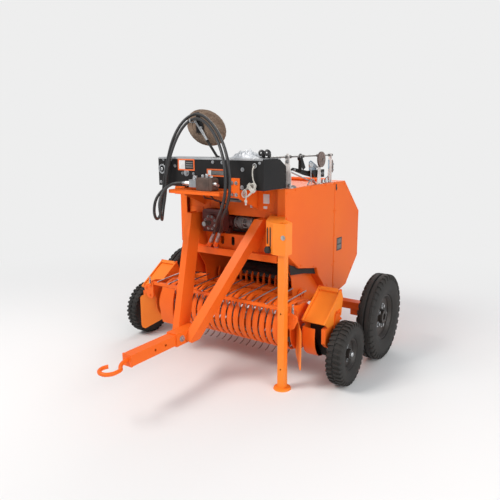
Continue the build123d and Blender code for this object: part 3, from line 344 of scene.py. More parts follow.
# %% Helpers for shapes
def skinned(shape, rings, sides):
    """Faces between rings of points that follow each other. A ring of one point makes a tip."""
    for near, far in zip(rings, rings[1:]):
        for i in range(sides):
            corners = [near[i % len(near)], near[(i + 1) % len(near)],
                       far[(i + 1) % len(far)], far[i % len(far)]]
            shape.faces.new(list(dict.fromkeys(corners)))


def prism(shape, front, rear):
    """Faces round two equal outlines of points and between them."""
    shape.faces.new(front)
    shape.faces.new(rear[::-1])
    for i in range(len(front)):
        j = (i + 1) % len(front)
        shape.faces.new([front[i], rear[i], rear[j], front[j]])


def turned(shape, start, direction, rows, sides=32):
    """A form turned round a line: rows of distance along it and radius, in millimetres."""
    across, rise = side_axes(direction)
    along = direction.normalized()
    rings = []
    for distance, radius in rows:
        centre = start + along * distance / 1000
        points = arc_points(centre, across, rise, radius, turns(sides)) if radius else [centre]
        rings.append([shape.verts.new(point) for point in points])
    skinned(shape, rings, sides)
    for ring in (rings[0], rings[-1]):
        if len(ring) > 1:
            shape.faces.new(ring)


def bar(shape, points, radius, sides=10, closed=False):
    """A round bar bent along points."""
    count = len(points)
    rings = []
    across = None
    for i, centre in enumerate(points):
        before = points[i - 1] if i or closed else centre
        after = points[(i + 1) % count] if i < count - 1 or closed else centre
        across, rise = side_axes(after - before, across)
        ring = arc_points(centre, across, rise, radius, turns(sides))
        rings.append([shape.verts.new(point) for point in ring])
    skinned(shape, rings + rings[:1] if closed else rings, sides)
    if not closed:
        shape.faces.new(rings[0])
        shape.faces.new(rings[-1])


def plate(shape, outline, origin, across, rise, depth):
    """A plate of an outline in millimetres along two directions, with a depth square to both."""
    through = across.cross(rise).normalized() * depth / 1000
    front = [shape.verts.new(origin + across * a / 1000 + rise * b / 1000) for a, b in outline]
    prism(shape, front, [shape.verts.new(v.co + through) for v in front])


def facing_plate(shape, outline, y, depth, x=0.0):
    """A plate that faces along the machine, its outline drawn in X and Z."""
    plate(shape, outline, mm(x, y, 0), right, up, depth)


def side_plate(shape, outline, x, depth):
    """A plate that faces sideways, its outline drawn in Y and Z."""
    plate(shape, outline, mm(x, 0, 0), back, up, depth)


def block(shape, low, high):
    """A block between two corners given in millimetres."""
    width, depth = high[0] - low[0], high[1] - low[1]
    plate(shape, [(0, 0), (width, 0), (width, depth), (0, depth)], mm(*low),
          right, back, high[2] - low[2])


# %% Helpers that make a piece of a shape
def mesh_of(shape, name):
    """The mesh of a shape, its faces all turned outwards."""
    bmesh.ops.recalc_face_normals(shape, faces=shape.faces)
    mesh = bpy.data.meshes.new(name)
    shape.to_mesh(mesh)
    shape.free()
    return mesh


def settled(name, mesh, body):
    """A mesh as a piece that rides on a body."""
    piece = linked(name, mesh)
    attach(piece, body)
    return piece


def keep(name, shape, material, body="chassis", bevel=0.0, replaces=()):
    """Makes a shape a piece with a finish, its sharp edges rounded by a bevel in millimetres."""
    mesh = mesh_of(shape, name)
    mesh.materials.append(material)
    mesh.shade_smooth()
    mesh.set_sharp_from_angle(angle=math.radians(35))
    piece = settled(name, mesh, body)
    if bevel:
        edge = piece.modifiers.new("edge", "BEVEL")
        edge.width = bevel / 1000
        edge.segments = 2
        edge.limit_method = "ANGLE"
        edge.angle_limit = math.radians(40)
    if replaces:
        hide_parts(*replaces)
    return piece


print("shape helpers ready")


# %% [markdown]
# Bolts and tyre lugs repeat, so Geometry Nodes place them. The first tree puts a head on a washer
# at each point of a mesh and turns it to face the way that the point says. The second copies one
# lug round a wheel. Each result is kept as a plain mesh, one for each body.

# %% Helpers for node trees
def new_tree(name, inputs):
    """A Geometry Nodes tree with a geometry input and output and these named inputs."""
    tree = bpy.data.node_groups.new(name, "GeometryNodeTree")
    tree.interface.new_socket("Geometry", in_out="INPUT", socket_type="NodeSocketGeometry")
    for label, kind in inputs:
        tree.interface.new_socket(label, in_out="INPUT", socket_type=kind)
    tree.interface.new_socket("Geometry", in_out="OUTPUT", socket_type="NodeSocketGeometry")
    return tree, tree.nodes.new("NodeGroupInput").outputs, tree.nodes.new("NodeGroupOutput").inputs


def grown(tree, base, values):
    """The plain mesh that a tree makes of a base mesh, with values for its named inputs."""
    holder = linked("grower", base)
    grower = holder.modifiers.new("grow", "NODES")
    grower.node_group = tree
    for item in tree.interface.items_tree:
        if item.in_out == "INPUT" and item.name in values:
            grower[item.identifier] = values[item.name]
    ready = holder.evaluated_get(bpy.context.evaluated_depsgraph_get())
    mesh = bpy.data.meshes.new_from_object(ready)
    holder.modifiers.remove(grower)
    bpy.data.objects.remove(holder)
    return mesh


def end_tree(tree, result, points, instance, material, **more):
    """Ends a tree with copies on points, made real and given a finish."""
    copies = add_node(tree, "GeometryNodeInstanceOnPoints", Points=points,
                      Instance=instance, **more)
    real = add_node(tree, "GeometryNodeRealizeInstances", Geometry=copies.outputs[0])
    coated = add_node(tree, "GeometryNodeSetMaterial", Geometry=real.outputs[0], Material=material)
    feed(result["Geometry"], coated.outputs[0])


# %% Tree: bolts on points
# A head and its washer are drawn for a bolt that is 1 wide, and each point's width scales them.
head_radius, washer_height, washer_sides = 0.55, 0.16, 20
bolt_inputs = [("Sides", "NodeSocketInt"), ("Head height", "NodeSocketFloat"),
               ("Washer radius", "NodeSocketFloat"), ("Finish", "NodeSocketMaterial")]
bolt_tree, given, result = new_tree("bolts on points", bolt_inputs)
head = add_node(bolt_tree, "GeometryNodeMeshCylinder", Vertices=given["Sides"], Radius=head_radius,
                Depth=given["Head height"])
washer = add_node(bolt_tree, "GeometryNodeMeshCylinder", Vertices=washer_sides,
                  Radius=given["Washer radius"], Depth=washer_height)
half_head = calculated(bolt_tree, "MULTIPLY", given["Head height"], 0.5)
lift = add_node(bolt_tree, "ShaderNodeCombineXYZ", Z=half_head)
raised = add_node(bolt_tree, "GeometryNodeTransform", Geometry=head.outputs["Mesh"],
                  Translation=lift.outputs[0])
both = add_node(bolt_tree, "GeometryNodeJoinGeometry")
for part in (raised.outputs[0], washer.outputs["Mesh"]):
    bolt_tree.links.new(part, both.inputs[0])
facing = add_node(bolt_tree, "GeometryNodeInputNamedAttribute",
                  {"data_type": "FLOAT_VECTOR"}, Name="facing")
width = add_node(bolt_tree, "GeometryNodeInputNamedAttribute", {"data_type": "FLOAT"}, Name="width")
turn = add_node(bolt_tree, "FunctionNodeAlignRotationToVector", {"axis": "Z"},
                Vector=facing.outputs["Attribute"])
end_tree(bolt_tree, result, given["Geometry"], both.outputs[0], given["Finish"],
         Rotation=turn.outputs[0], Scale=width.outputs["Attribute"])


def bolts(name, body, rows, material=zinc, sides=6, height=0.62, washer_radius=0.92):
    """Bolt heads of one body, from rows of place, facing direction and width in millimetres."""
    base = bpy.data.meshes.new(name + "_points")
    base.from_pydata([place for place, _, _ in rows], [], [])
    directions = [c for _, direction, _ in rows for c in direction]
    base.attributes.new("facing", "FLOAT_VECTOR", "POINT").data.foreach_set("vector", directions)
    widths = [size / 1000 for _, _, size in rows]
    base.attributes.new("width", "FLOAT", "POINT").data.foreach_set("value", widths)
    mesh = grown(bolt_tree, base, {"Sides": sides, "Head height": height,
                                   "Washer radius": washer_radius, "Finish": material})
    mesh.name = name
    print(name, len(rows), "heads")
    return settled(name, mesh, body)


# %% Tree: copies round a wheel
wheel_inputs = [("Count", "NodeSocketInt"), ("Finish", "NodeSocketMaterial")]
wheel_tree, given, result = new_tree("copies round a wheel", wheel_inputs)
dots = add_node(wheel_tree, "GeometryNodePoints", Count=given["Count"])
index = add_node(wheel_tree, "GeometryNodeInputIndex").outputs[0]
share = calculated(wheel_tree, "DIVIDE", index, given["Count"])
angle = calculated(wheel_tree, "MULTIPLY", share, 2 * math.pi)
spin = add_node(wheel_tree, "ShaderNodeCombineXYZ", X=angle)
spun = add_node(wheel_tree, "FunctionNodeEulerToRotation", Euler=spin.outputs[0])
end_tree(wheel_tree, result, dots.outputs[0], given["Geometry"], given["Finish"],
         Rotation=spun.outputs[0])
print("node trees ready")


# %% [markdown]
# The main tyres are old truck tyres: two smooth ribs with one deep groove between them, and a
# scalloped shoulder that makes the outline bumpy. The gauge tyres have two rows of cross bars, one
# half a step behind the other. The carcass is turned, and the lugs are copied round it by the tree.

# %% Tyres
def carcass(half, seat, outer, groove, drop):
    """Half widths and radii round a tyre's section: bead, sidewall, shoulder, ribs and groove."""
    tall = outer - seat
    side = [(0.62, seat + 0.4), (0.76, seat + 6), (0.80, seat + 14), (0.90, seat + 0.20 * tall),
            (0.985, seat + 0.36 * tall), (1.0, seat + 0.50 * tall), (0.985, seat + 0.63 * tall),
            (0.93, seat + 0.77 * tall), (0.86, outer - 17), (0.74, outer - 10 - 0.4 * drop),
            (0.56, outer - 8 - 0.5 * drop), (0.54, outer - 1.5 - drop), (0.34, outer - 0.6 - drop),
            (0.13, outer - 0.8 - drop), (0.105, outer - 2.5 - drop), (0.09, outer - groove - drop)]
    return [(w * half, r) for w, r in side] + [(-w * half, r) for w, r in reversed(side)]


def lug(shape, outline, half_length, turn_by, lean):
    """A rubber block at the top of a wheel at the origin, its outline as widths and radii."""
    spin_by = Matrix.Rotation(turn_by, 3, "X")
    ends = []
    for sign in (-1, 1):
        ring = []
        for x, r in outline:
            a = (sign * half_length + lean * x) / r
            corner = Vector((x, -r * math.sin(a), r * math.cos(a))) / 1000
            ring.append(shape.verts.new(spin_by @ corner))
        ends.append(ring)
    prism(shape, *ends)


tyre_sides = 96


def dressed_tyre(node, half, seat, outer, groove, drop, block_outline, half_length, lean, count):
    """A tyre with tread that stands for a node's plain one."""
    low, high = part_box(node)
    centre = (low + high) / 2
    lugs = bmesh.new()
    for hand in (1, -1):
        outline = [(hand * x, r) for x, r in block_outline(half, outer)]
        lug(lugs, outline, half_length, (hand < 0) * math.pi / count, lean * hand)
    tread = grown(wheel_tree, mesh_of(lugs, "lug"), {"Count": count, "Finish": rubber})
    shape = bmesh.new()
    rows = carcass(half, seat, outer, groove, drop)
    rings = []
    for t in turns(tyre_sides):
        points = [(x / 1000, r / 1000 * math.cos(t), r / 1000 * math.sin(t)) for x, r in rows]
        rings.append([shape.verts.new(point) for point in points])
    for near, far in zip(rings, rings[1:] + rings[:1]):
        for j in range(len(rows)):
            k = (j + 1) % len(rows)
            shape.faces.new([near[j], near[k], far[k], far[j]])
    shape.from_mesh(tread)
    for vert in shape.verts:
        vert.co += centre
    piece = keep(node + "_tread", shape, rubber, node.replace("tyre_", "wheel_"), replaces=[node])
    print(piece.name, len(piece.data.polygons), "faces")


def shoulder(half, outer):
    """A scallop on a main tyre's shoulder."""
    return [(0.50 * half, outer - 14), (0.58 * half, outer - 0.8), (0.80 * half, outer - 3),
            (0.95 * half, outer - 15), (0.99 * half, outer - 40), (0.86 * half, outer - 44),
            (0.72 * half, outer - 22)]


def cross_bar(half, outer):
    """A bar from the middle of a gauge tyre out over its shoulder."""
    return [(0.07 * half, outer - 12), (0.08 * half, outer - 0.8), (0.66 * half, outer - 0.8),
            (0.88 * half, outer - 5), (0.99 * half, outer - 26), (0.92 * half, outer - 46),
            (0.66 * half, outer - 18)]


tyre_sizes = {
    "main": {"half": 62.4, "seat": 165, "outer": 320, "groove": 13, "drop": 0,
             "block_outline": shoulder, "half_length": 15, "lean": 0.0, "count": 38},
    "gauge": {"half": 55.9, "seat": 105, "outer": 215, "groove": 2, "drop": 8,
              "block_outline": cross_bar, "half_length": 8.0, "lean": 0.16, "count": 36},
}
for side_name, _ in hands:
    for kind, sizes in tyre_sizes.items():
        dressed_tyre(f"{kind}_tyre_{side_name}", **sizes)


# %% [markdown]
# Each wheel is held by nuts on its studs. The gauge wheel turns on a stub with a bright cap nut.

# %% Wheel nuts
for side_name, hand in hands:
    out = right * hand
    for kind, face_out, ring_radius, studs, size in (("main", 0.014, 77.5, 5, 24),
                                                     ("gauge", 0.012, 49.0, 4, 15)):
        low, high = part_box(f"{kind}_tyre_{side_name}")
        middle = (low + high) / 2
        places = arc_points(middle + out * face_out, back, up, ring_radius, turns(studs))
        rows = [(place, out, size) for place in places]
        bolts(f"{kind}_nuts_{side_name}", f"{kind}_wheel_{side_name}", rows)
    cap = bmesh.new()
    turned(cap, middle + out * 0.030, out,
           [(0, 21), (4, 21), (5, 18), (18, 17), (23, 12), (25, 0)], 24)
    keep("stub_cap_" + side_name, cap, zinc, "pickup")


# %% [markdown]
# Two oil hoses leave the valve, hang down in a loop, climb over the post's hook and come down to
# their parked couplings. Each is one smooth NURBS curve through the same points as in the part's
# source, thickened by the curve's own bevel.

# %% Couplings
coupling_lines = {"hose_a": ((-137, -602, 827.5), (-42, -667, 960)),
                  "hose_b": ((-201.5, -602, 825.5), (-94, -667, 948))}
for name, (low, high) in coupling_lines.items():
    foot = mm(*low)
    line = mm(*high) - foot
    length = line.length * 1000
    crimp = bmesh.new()
    turned(crimp, foot, line, [(length - 46, 12), (length - 45, 13), (length - 34, 13),
                               (length - 33, 12), (length - 31, 12), (length - 30, 13),
                               (length - 8, 13), (length - 4, 12.4), (length, 11)], 24)
    ferrule = keep(name + "_ferrule", crimp, zinc, replaces=["hose_couplings"])
    steel = bmesh.new()
    turned(steel, foot, line,
           [(length - 76, 15), (length - 74, 16.5), (length - 48, 16.5), (length - 46, 15)], 6)
    turned(steel, foot, line, [(70, 14), (72, 15), (length - 76, 15), (length - 75, 14)], 24)
    turned(steel, mm(low[0], -585, 822), up, [(0, 16.5), (25, 16.5), (26, 15)], 24)
    keep(name + "_coupling", steel, zinc, replaces=["hose_couplings"])
    grip = bmesh.new()
    ribs = [(22, 15.5)]
    for i in range(6):
        ribs += [(24 + i * 8, 18), (29 + i * 8, 18), (30 + i * 8, 16.6)]
    turned(grip, foot, line, ribs + [(74, 15.5)], 28)
    keep(name + "_grip", grip, orange, replaces=["hose_couplings"])

# %% Hoses
hose_diameter = 0.020
hose_points = {
    "hose_a": [(-129, -905, 1330), (-196, -905, 1330), (-256, -958, 1308), (-290, -1040, 1235),
               (-306, -1052, 1130), (-345, -985, 1060), (-392, -890, 1098), (-394, -872, 1205),
               (-376, -870, 1310), (-352, -868, 1415), (-330, -858, 1520), (-312, -832, 1620),
               (-284, -796, 1706), (-240, -766, 1764), (-176, -748, 1794), (-98, -762, 1780),
               (-4, -800, 1737), (94, -850, 1675), (176, -900, 1604), (238, -940, 1524),
               (278, -968, 1436), (290, -978, 1345), (268, -958, 1255), (202, -908, 1170),
               (110, -834, 1090), (-4, -693, 1013), (-42, -667, 960)],
    "hose_b": [(-129, -945, 1330), (-198, -945, 1330), (-236, -998, 1300), (-232, -1068, 1222),
               (-218, -1080, 1138), (-262, -1020, 1075), (-332, -944, 1072), (-364, -898, 1134),
               (-348, -886, 1240), (-336, -886, 1345), (-318, -880, 1450), (-298, -858, 1548),
               (-276, -824, 1640), (-246, -790, 1710), (-202, -770, 1749), (-148, -768, 1761),
               (-80, -786, 1746), (4, -826, 1710), (88, -874, 1656), (162, -920, 1592),
               (222, -960, 1516), (258, -986, 1436), (268, -994, 1350), (246, -974, 1264),
               (184, -926, 1176), (88, -852, 1096), (-51, -693, 997), (-94, -667, 948)],
}


def cord_curve(name, points, diameter, material):
    """An open NURBS curve through control points, round in section."""
    curve = bpy.data.curves.new(name, "CURVE")
    curve.dimensions = "3D"
    curve.resolution_u = 10
    curve.bevel_depth = diameter / 2
    curve.bevel_resolution = 5
    curve.use_fill_caps = diameter > 0
    spline = curve.splines.new("NURBS")
    spline.points.add(len(points) - 1)
    for point, place in zip(spline.points, points):
        point.co = (*place, 1)
    spline.order_u = 3
    spline.use_endpoint_u = True
    if material:
        curve.materials.append(material)
    return linked(name, curve)


for name, points in hose_points.items():
    places = [mm(*point) for point in points]
    hose = cord_curve(name + "_dressed", places, hose_diameter, hose_black)
    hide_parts(name)
    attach(hose, "chassis")
print("hoses", list(hose_points))


# %% [markdown]
# A spare rope hangs from an eyelet on the box, tied into a short hank. It is three strands laid
# round each other, so the helper first asks the NURBS line for its own points and then winds the
# strands about them.

# %% Rope
rope_points = [(385, -840, 1452), (385, -862, 1452), (379, -864, 1402), (386, -858, 1350),
               (413, -859, 1322), (333, -860, 1244), (305, -861, 1273), (388, -867, 1357),
               (420, -868, 1324), (339, -869, 1246), (307, -870, 1279), (386, -876, 1353),
               (415, -877, 1322), (332, -878, 1242), (303, -879, 1272), (337, -885, 1312),
               (352, -886, 1284), (343, -884, 1236)]


def spline_points(name, points):
    """The points of a smooth line through control points, read from the curve itself."""
    guide = cord_curve(name, points, 0.0, None)
    ready = guide.evaluated_get(bpy.context.evaluated_depsgraph_get())
    mesh = bpy.data.meshes.new_from_object(ready)
    line = [vert.co.copy() for vert in mesh.vertices]
    bpy.data.objects.remove(guide)
    return line


def resampled(line, step):
    """The same line with points a step apart."""
    kept, carry = [line[0]], 0.0
    for a, b in zip(line, line[1:]):
        run = (b - a).length
        while carry + run >= step:
            a = a + (b - a) * ((step - carry) / run)
            run = (b - a).length
            kept.append(a.copy())
            carry = 0.0
        carry += run
    return kept + [line[-1]]


rope_step, strand_lay, strand_offset = 0.003, 0.024, 0.0020
rope_line = resampled(spline_points("rope_guide", [mm(*point) for point in rope_points]), rope_step)
rope_shape = bmesh.new()
for strand in range(3):
    wound, across = [], None
    for i, place in enumerate(rope_line):
        along = rope_line[min(i + 1, len(rope_line) - 1)] - rope_line[max(i - 1, 0)]
        across, rise = side_axes(along, across)
        t = 2 * math.pi * (strand / 3 + i * rope_step / strand_lay)
        wound.append(place + (across * math.cos(t) + rise * math.sin(t)) * strand_offset)
    bar(rope_shape, wound, 2.3, 6)
rope_piece = keep("rope_laid", rope_shape, rope_white, replaces=["rope"])

ends = bmesh.new()
turned(ends, rope_line[-1] + up * 0.004, -up,
       [(0, 0), (1, 5), (5, 9), (11, 10), (17, 8), (21, 4.5), (34, 7), (35, 0)], 14)
rope_knot = keep("rope_knot", ends, rope_white)
wrap = bmesh.new()
hank_middle = mm(362, -869, 1300)
slant = Vector((-0.72, 0, -0.694))
flat_way = Vector((0.694, 0, -0.72))
for i in range(4):
    middle = hank_middle + slant * (i * 0.0062 - 0.030)
    ring = [middle + flat_way * math.cos(t) * 0.032 + back * math.sin(t) * 0.018 for t in turns(28)]
    bar(wrap, ring, 3.3, 8, closed=True)
rope_wrap = keep("rope_wrap", wrap, rope_white)
eyelet = bmesh.new()
bar(eyelet, arc_points(mm(385, -845, 1452), right, up, 13, turns(30)), 3.6, 10, closed=True)
keep("rope_eyelet", eyelet, zinc)
print("rope", len(rope_line), "points")


# %% [markdown]
# The spare twine is a ball on a peg. A winding machine lays the twine in tilted loops that creep
# round, so the loops here follow that rule over a rounded drum of the ball's size.

# %% Twine ball
ball_low, ball_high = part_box("twine_ball")
ball_middle = (ball_low + ball_high) / 2 + Vector((-0.018, 0, 0.012))
ball_size = (ball_high - ball_low) / 2
fullness = 2.7
slump = Matrix(((1.0, 0, -0.10), (0, 1.0, 0), (-0.14, 0, 0.86)))


def on_ball(direction, inset):
    """The point of the rounded drum in a direction from its middle."""
    flat = math.hypot(direction.x, direction.z) / (ball_size.x - inset)
    deep = abs(direction.y) / (ball_size.y - inset)
    reach = (flat ** fullness + deep ** fullness) ** (1 / fullness)
    return ball_middle + slump @ (direction / reach)


core = bmesh.new()
bmesh.ops.create_uvsphere(core, u_segments=48, v_segments=32, radius=1.0)
for vert in core.verts:
    vert.co = on_ball(Matrix.Rotation(math.pi / 2, 3, "X") @ vert.co, 0.006)
keep("twine_ball_core", core, twine_brown, replaces=["twine_ball"])
winding = bmesh.new()
loops, steps = 96, 40
tilt = Matrix.Rotation(math.radians(58), 3, "X")
path = []
for i in range(loops * steps):
    t = 2 * math.pi * i / steps
    creep = t * 0.618 / 9.0
    turn_on, turn_off = Matrix.Rotation(creep, 3, "Y"), Matrix.Rotation(-creep, 3, "Y")
    direction = turn_on @ tilt @ turn_off @ Vector((math.cos(t), 0, math.sin(t)))
    path.append(on_ball(direction, 0.0032 + 0.0012 * math.sin(i * 0.37)))
bar(winding, path, 2.1, 5)
keep("twine_ball_winding", winding, twine_brown)
print("twine ball", loops, "loops")


# %% [markdown]
# The twine box is black sheet steel with a pale lid. Its front carries two blank plates in orange
# frames, a handful of bolts and, at the far end, the bright ring of a pulley. Each is its own small
# piece that sits on the sheet.

# %% Front of the twine box
box_face = -840.0


def front_plate(name, x_span, z_span, thick, material, y=box_face, cut=3.0):
    """A thin plate on a face that looks forward, with its corners cut off."""
    (x0, x1), (z0, z1) = x_span, z_span
    shape = bmesh.new()
    facing_plate(shape, [(x0 + cut, z0), (x1 - cut, z0), (x1, z0 + cut), (x1, z1 - cut),
                         (x1 - cut, z1), (x0 + cut, z1), (x0, z1 - cut), (x0, z0 + cut)], y, thick)
    return keep(name, shape, material, bevel=0.5)


border = 9
for label, (x0, x1), (z0, z1), split in (("upper", (-262, -112), (1407, 1486), 0.42),
                                         ("lower", (-4, 152), (1374, 1424), 0.2)):
    frame_shape = bmesh.new()
    for low, high in (((x0, z0), (x1, z0 + border)), ((x0, z1 - border), (x1, z1)),
                      ((x0, z0 + border), (x0 + border, z1 - border)),
                      ((x1 - border, z0 + border), (x1, z1 - border))):
        block(frame_shape, (low[0], box_face - 3, low[1]), (high[0], box_face, high[1]))
    keep(f"box_frame_{label}", frame_shape, sticker_orange)
    middle = x0 + border + (x1 - x0 - 2 * border) * split
    inside = (z0 + border, z1 - border)
    front_plate(f"box_blank_pale_{label}", (x0 + border, middle), inside, 1.5, pale_label, cut=0.5)
    front_plate(f"box_blank_dark_{label}", (middle, x1 - border), inside, 1.5, dark_label, cut=0.5)
    bars = bmesh.new()
    for share in (0.25, 0.5, 0.75):
        z = z0 + border + (z1 - z0 - 2 * border) * share
        block(bars, (middle + 8, box_face - 2.2, z - 3), (x1 - 17, box_face - 1.4, z + 3))
    keep(f"box_blank_bars_{label}", bars, dull_grey)

pulley_disc = bmesh.new()
turned(pulley_disc, mm(-408, box_face, 1413), -back,
       [(0, 40), (3, 41), (5, 40), (6, 24), (6, 0)], 40)
keep("box_pulley_disc", pulley_disc, black_coat)
pulley_ring = bmesh.new()
turned(pulley_ring, mm(-408, box_face - 5.5, 1413), -back,
       [(0, 33), (4, 34), (6, 32), (6, 24), (3, 22), (0.5, 22)], 40)
turned(pulley_ring, mm(-408, box_face - 5.5, 1413), -back, [(0, 12), (9, 11), (11, 8), (11, 0)], 24)
keep("box_pulley_ring", pulley_ring, zinc)

lid = bmesh.new()
plate(lid, [(-444, 0), (444, 0), (444, 222), (-444, 222)], mm(0, -842, 1493), right, back, 3)
block(lid, (-444, -842.5, 1484), (444, -840.5, 1494))
keep("box_lid", lid, lid_grey, bevel=0.6)

box_bolts = [(-328, 1479, 12), (-292, 1437, 13), (-224, 1388, 11), (-124, 1387, 11), (46, 1469, 12),
             (123, 1467, 12), (288, 1426, 15), (283, 1312, 15), (-430, 1320, 12),
             (420, 1470, 10), (-400, 1478, 10)]
rows = [(mm(x, box_face - 0.3, z), forward, size) for x, z, size in box_bolts]
bolts("box_bolts", "chassis", rows)
bolts("box_dome", "chassis", [(mm(-187, box_face - 0.3, 1392), forward, 26)], sides=24, height=0.5)


# %% [markdown]
# The valve is a rusty brown casting on the shelf, with bright adapters where the hoses leave it and
# bright spool caps. Castings have soft edges, so the block gets a wide bevel.

# %% Valve
body_shape = bmesh.new()
facing_plate(body_shape, [(-4, 1290), (10, 1286), (120, 1286), (132, 1292), (132, 1362),
                          (120, 1372), (6, 1372), (-4, 1360)], -960, -70)
facing_plate(body_shape, [(20, 1286), (108, 1286), (108, 1366), (20, 1366)], -963, -76)
keep("valve_casting", body_shape, brown_iron, bevel=4, replaces=["valve_block"])
manifold = bmesh.new()
block(manifold, (-66, -958, 1306), (-6, -892, 1356))
turned(manifold, mm(-36, -925, 1354), up,
       [(0, 20), (10, 20), (12, 17), (26, 16), (28, 11), (30, 0)], 20)
for y in (-945, -905):
    turned(manifold, mm(-64, y, 1330), -right,
           [(0, 16.5), (2, 17.3), (14, 17.3), (16, 15.5), (18, 13)], 6)
    turned(manifold, mm(-82, y, 1330), -right, [(0, 14.8), (2, 15.6), (18, 15.6), (20, 13)], 6)
    turned(manifold, mm(-100, y, 1330), -right, [(0, 12.6), (24, 12.6), (27, 11), (31, 10.4)], 20)
keep("valve_adapters", manifold, zinc, bevel=0.8, replaces=["valve_fittings"])
caps = bmesh.new()
for x, height in ((30, 24), (64, 30), (100, 20)):
    turned(caps, mm(x, -925, 1366), up, [(0, 15), (5, 15), (6, 11.5), (height - 3, 11.5),
                                         (height, 9), (height, 0)], 6)
turned(caps, mm(130, -940, 1334), right,
       [(0, 13), (10, 13), (11, 10), (26, 10), (27, 7), (27, 0)], 6)
turned(caps, mm(130, -910, 1322), right, [(0, 13), (10, 13), (11, 9), (18, 9), (19, 0)], 6)
keep("valve_caps", caps, zinc, bevel=0.6)
pipes = bmesh.new()
bar(pipes, [mm(36, -930, 1288), mm(34, -930, 1262), mm(24, -905, 1236), mm(6, -800, 1216),
            mm(-20, -690, 1190), mm(-48, -640, 1150), mm(-58, -628, 1098)], 5, 10)
bar(pipes, [mm(92, -930, 1288), mm(92, -928, 1258), mm(86, -880, 1222), mm(66, -780, 1196),
            mm(24, -660, 1166), mm(0, -624, 1120), mm(-14, -620, 1078)], 5, 10)
keep("valve_pipes", pipes, hose_black)

brackets = bmesh.new()
shelf_back = -564.0
for x0, lip in ((178, 1370), (-296, 1286)):
    outline = [(box_face - 6, 1240), (box_face - 6, lip), (box_face, lip), (box_face, 1296),
               (shelf_back, 1296), (shelf_back, 1130), (shelf_back - 6, 1130),
               (shelf_back - 6, 1290), (box_face, 1290), (box_face, 1240)]
    side_plate(brackets, outline, x0, 90)
    side_plate(brackets, [(-572, 1140), (-572, 1292), (box_face - 2, 1292), (box_face - 2, 1250)],
               x0 + 42, 6)
side_plate(brackets, [(-846, 1246), (-846, 1286), (-985, 1286), (-985, 1280), (-852, 1280),
                      (-852, 1246)], -222, 430)
side_plate(brackets, [(-985, 1284), (-985, 1262), (-982, 1262), (-982, 1284)], -222, 430)
keep("box_brackets_dressed", brackets, orange, bevel=1.2, replaces=["box_brackets"])
shelf_bolts = ((206, 1338), (240, 1338), (206, 1262), (240, 1262), (-270, 1262), (-236, 1262))
bolts("shelf_bolts", "chassis", [(mm(x, -846.3, z), forward, 14) for x, z in shelf_bolts])


# %% [markdown]
# The hose post is a black tube that ends in a bright rod with a hook. A black strap holds the twine
# ball on its peg, and a long bright bolt runs down beside the post.

# %% Hose post
post_foot = mm(-20, -700, 1493)
post_tip = mm(-205, -738, 1768)
post_line = post_tip - post_foot
black_length = post_line.length * 1000 * 0.42
post = bmesh.new()
turned(post, post_foot + post_line.normalized() * 0.008, post_line,
       [(0, 9), (black_length, 9), (black_length + 3, 7)], 18)
turned(post, post_foot, up, [(0, 34), (5, 34), (6, 32), (7, 14), (14, 12), (15, 0)], 32)
strap = bmesh.new()
facing_plate(strap, [(-198, 1800), (-172, 1806), (-140, 1716), (-148, 1660), (-184, 1662),
                     (-188, 1730)], -718, -7)
block(strap, (-196, -716, 1664), (-186, -704, 1740))
block(strap, (-148, -716, 1664), (-138, -704, 1728))
turned(strap, mm(-172, -722, 1690), back, [(0, 12), (6, 13), (8, 8), (240, 8), (241, 0)], 20)
keep("hose_post_tube", post, black_coat, replaces=["hose_post"])
keep("ball_strap", strap, black_coat, bevel=1.0)
rod = bmesh.new()
bar(rod, [post_foot + post_line * f for f in (0.42, 0.7, 0.97)], 7, 16)
hook_curve = [mm(-190, -728, 1734), mm(-190, -760, 1733), mm(-190, -782, 1734),
              mm(-190, -789, 1740), mm(-190, -790, 1758)]
bar(rod, hook_curve, 5, 12)
turned(rod, mm(-150, -722, 1702), Vector((0.54, 0, -0.84)),
       [(0, 0), (0, 11), (9, 11), (10, 6), (96, 6), (97, 10), (106, 10), (107, 0)], 6)
keep("hose_post_rod", rod, zinc)
print("post", round(post_line.length, 3), "m")


# %% [markdown]
# On the lid lies a bundle wrapped in clear film, with two black knobs beside it. The film is a
# sheet pushed into creases by layered noise. It stays one skin, and Solidify gives it thickness.

# %% Wrapped bundle on the lid
columns, rows_across = 96, 62
film_top, film_height = 1497.2, 44
film_shape = bmesh.new()
grid = []
for j in range(rows_across + 1):
    line = []
    for i in range(columns + 1):
        a, b = i / columns, j / rows_across
        x, y = 142 + 240 * a, -800 + 160 * b
        rim = min(1.0, 7 * min(a, 1 - a, b, 1 - b))
        hill = (math.sin(math.pi * min(1.0, a * 1.15)) ** 0.8) * (math.sin(math.pi * b) ** 0.6)
        wide = noise.noise(Vector((x * 0.030, y * 0.030, 3.1)))
        fine = noise.noise(Vector((x * 0.07, y * 0.07, 7.7)))
        crease = abs(wide) + 0.6 * abs(fine)
        z = film_top + rim * (film_height * hill * (0.62 + 0.75 * crease) + 7 * crease)
        line.append(film_shape.verts.new(mm(x, y, z)))
    grid.append(line)
for j in range(rows_across):
    for i in range(columns):
        film_shape.faces.new([grid[j][i], grid[j][i + 1], grid[j + 1][i + 1], grid[j + 1][i]])
film_area = sum(face.calc_area() for face in film_shape.faces)
wrapping = keep("film_bundle", film_shape, film)
skin = wrapping.modifiers.new("skin", "SOLIDIFY")
skin.thickness = 0.0012
skin.offset = 0
knobs, dots = bmesh.new(), bmesh.new()
knob_way = Vector((0.25, -0.95, 0.12))
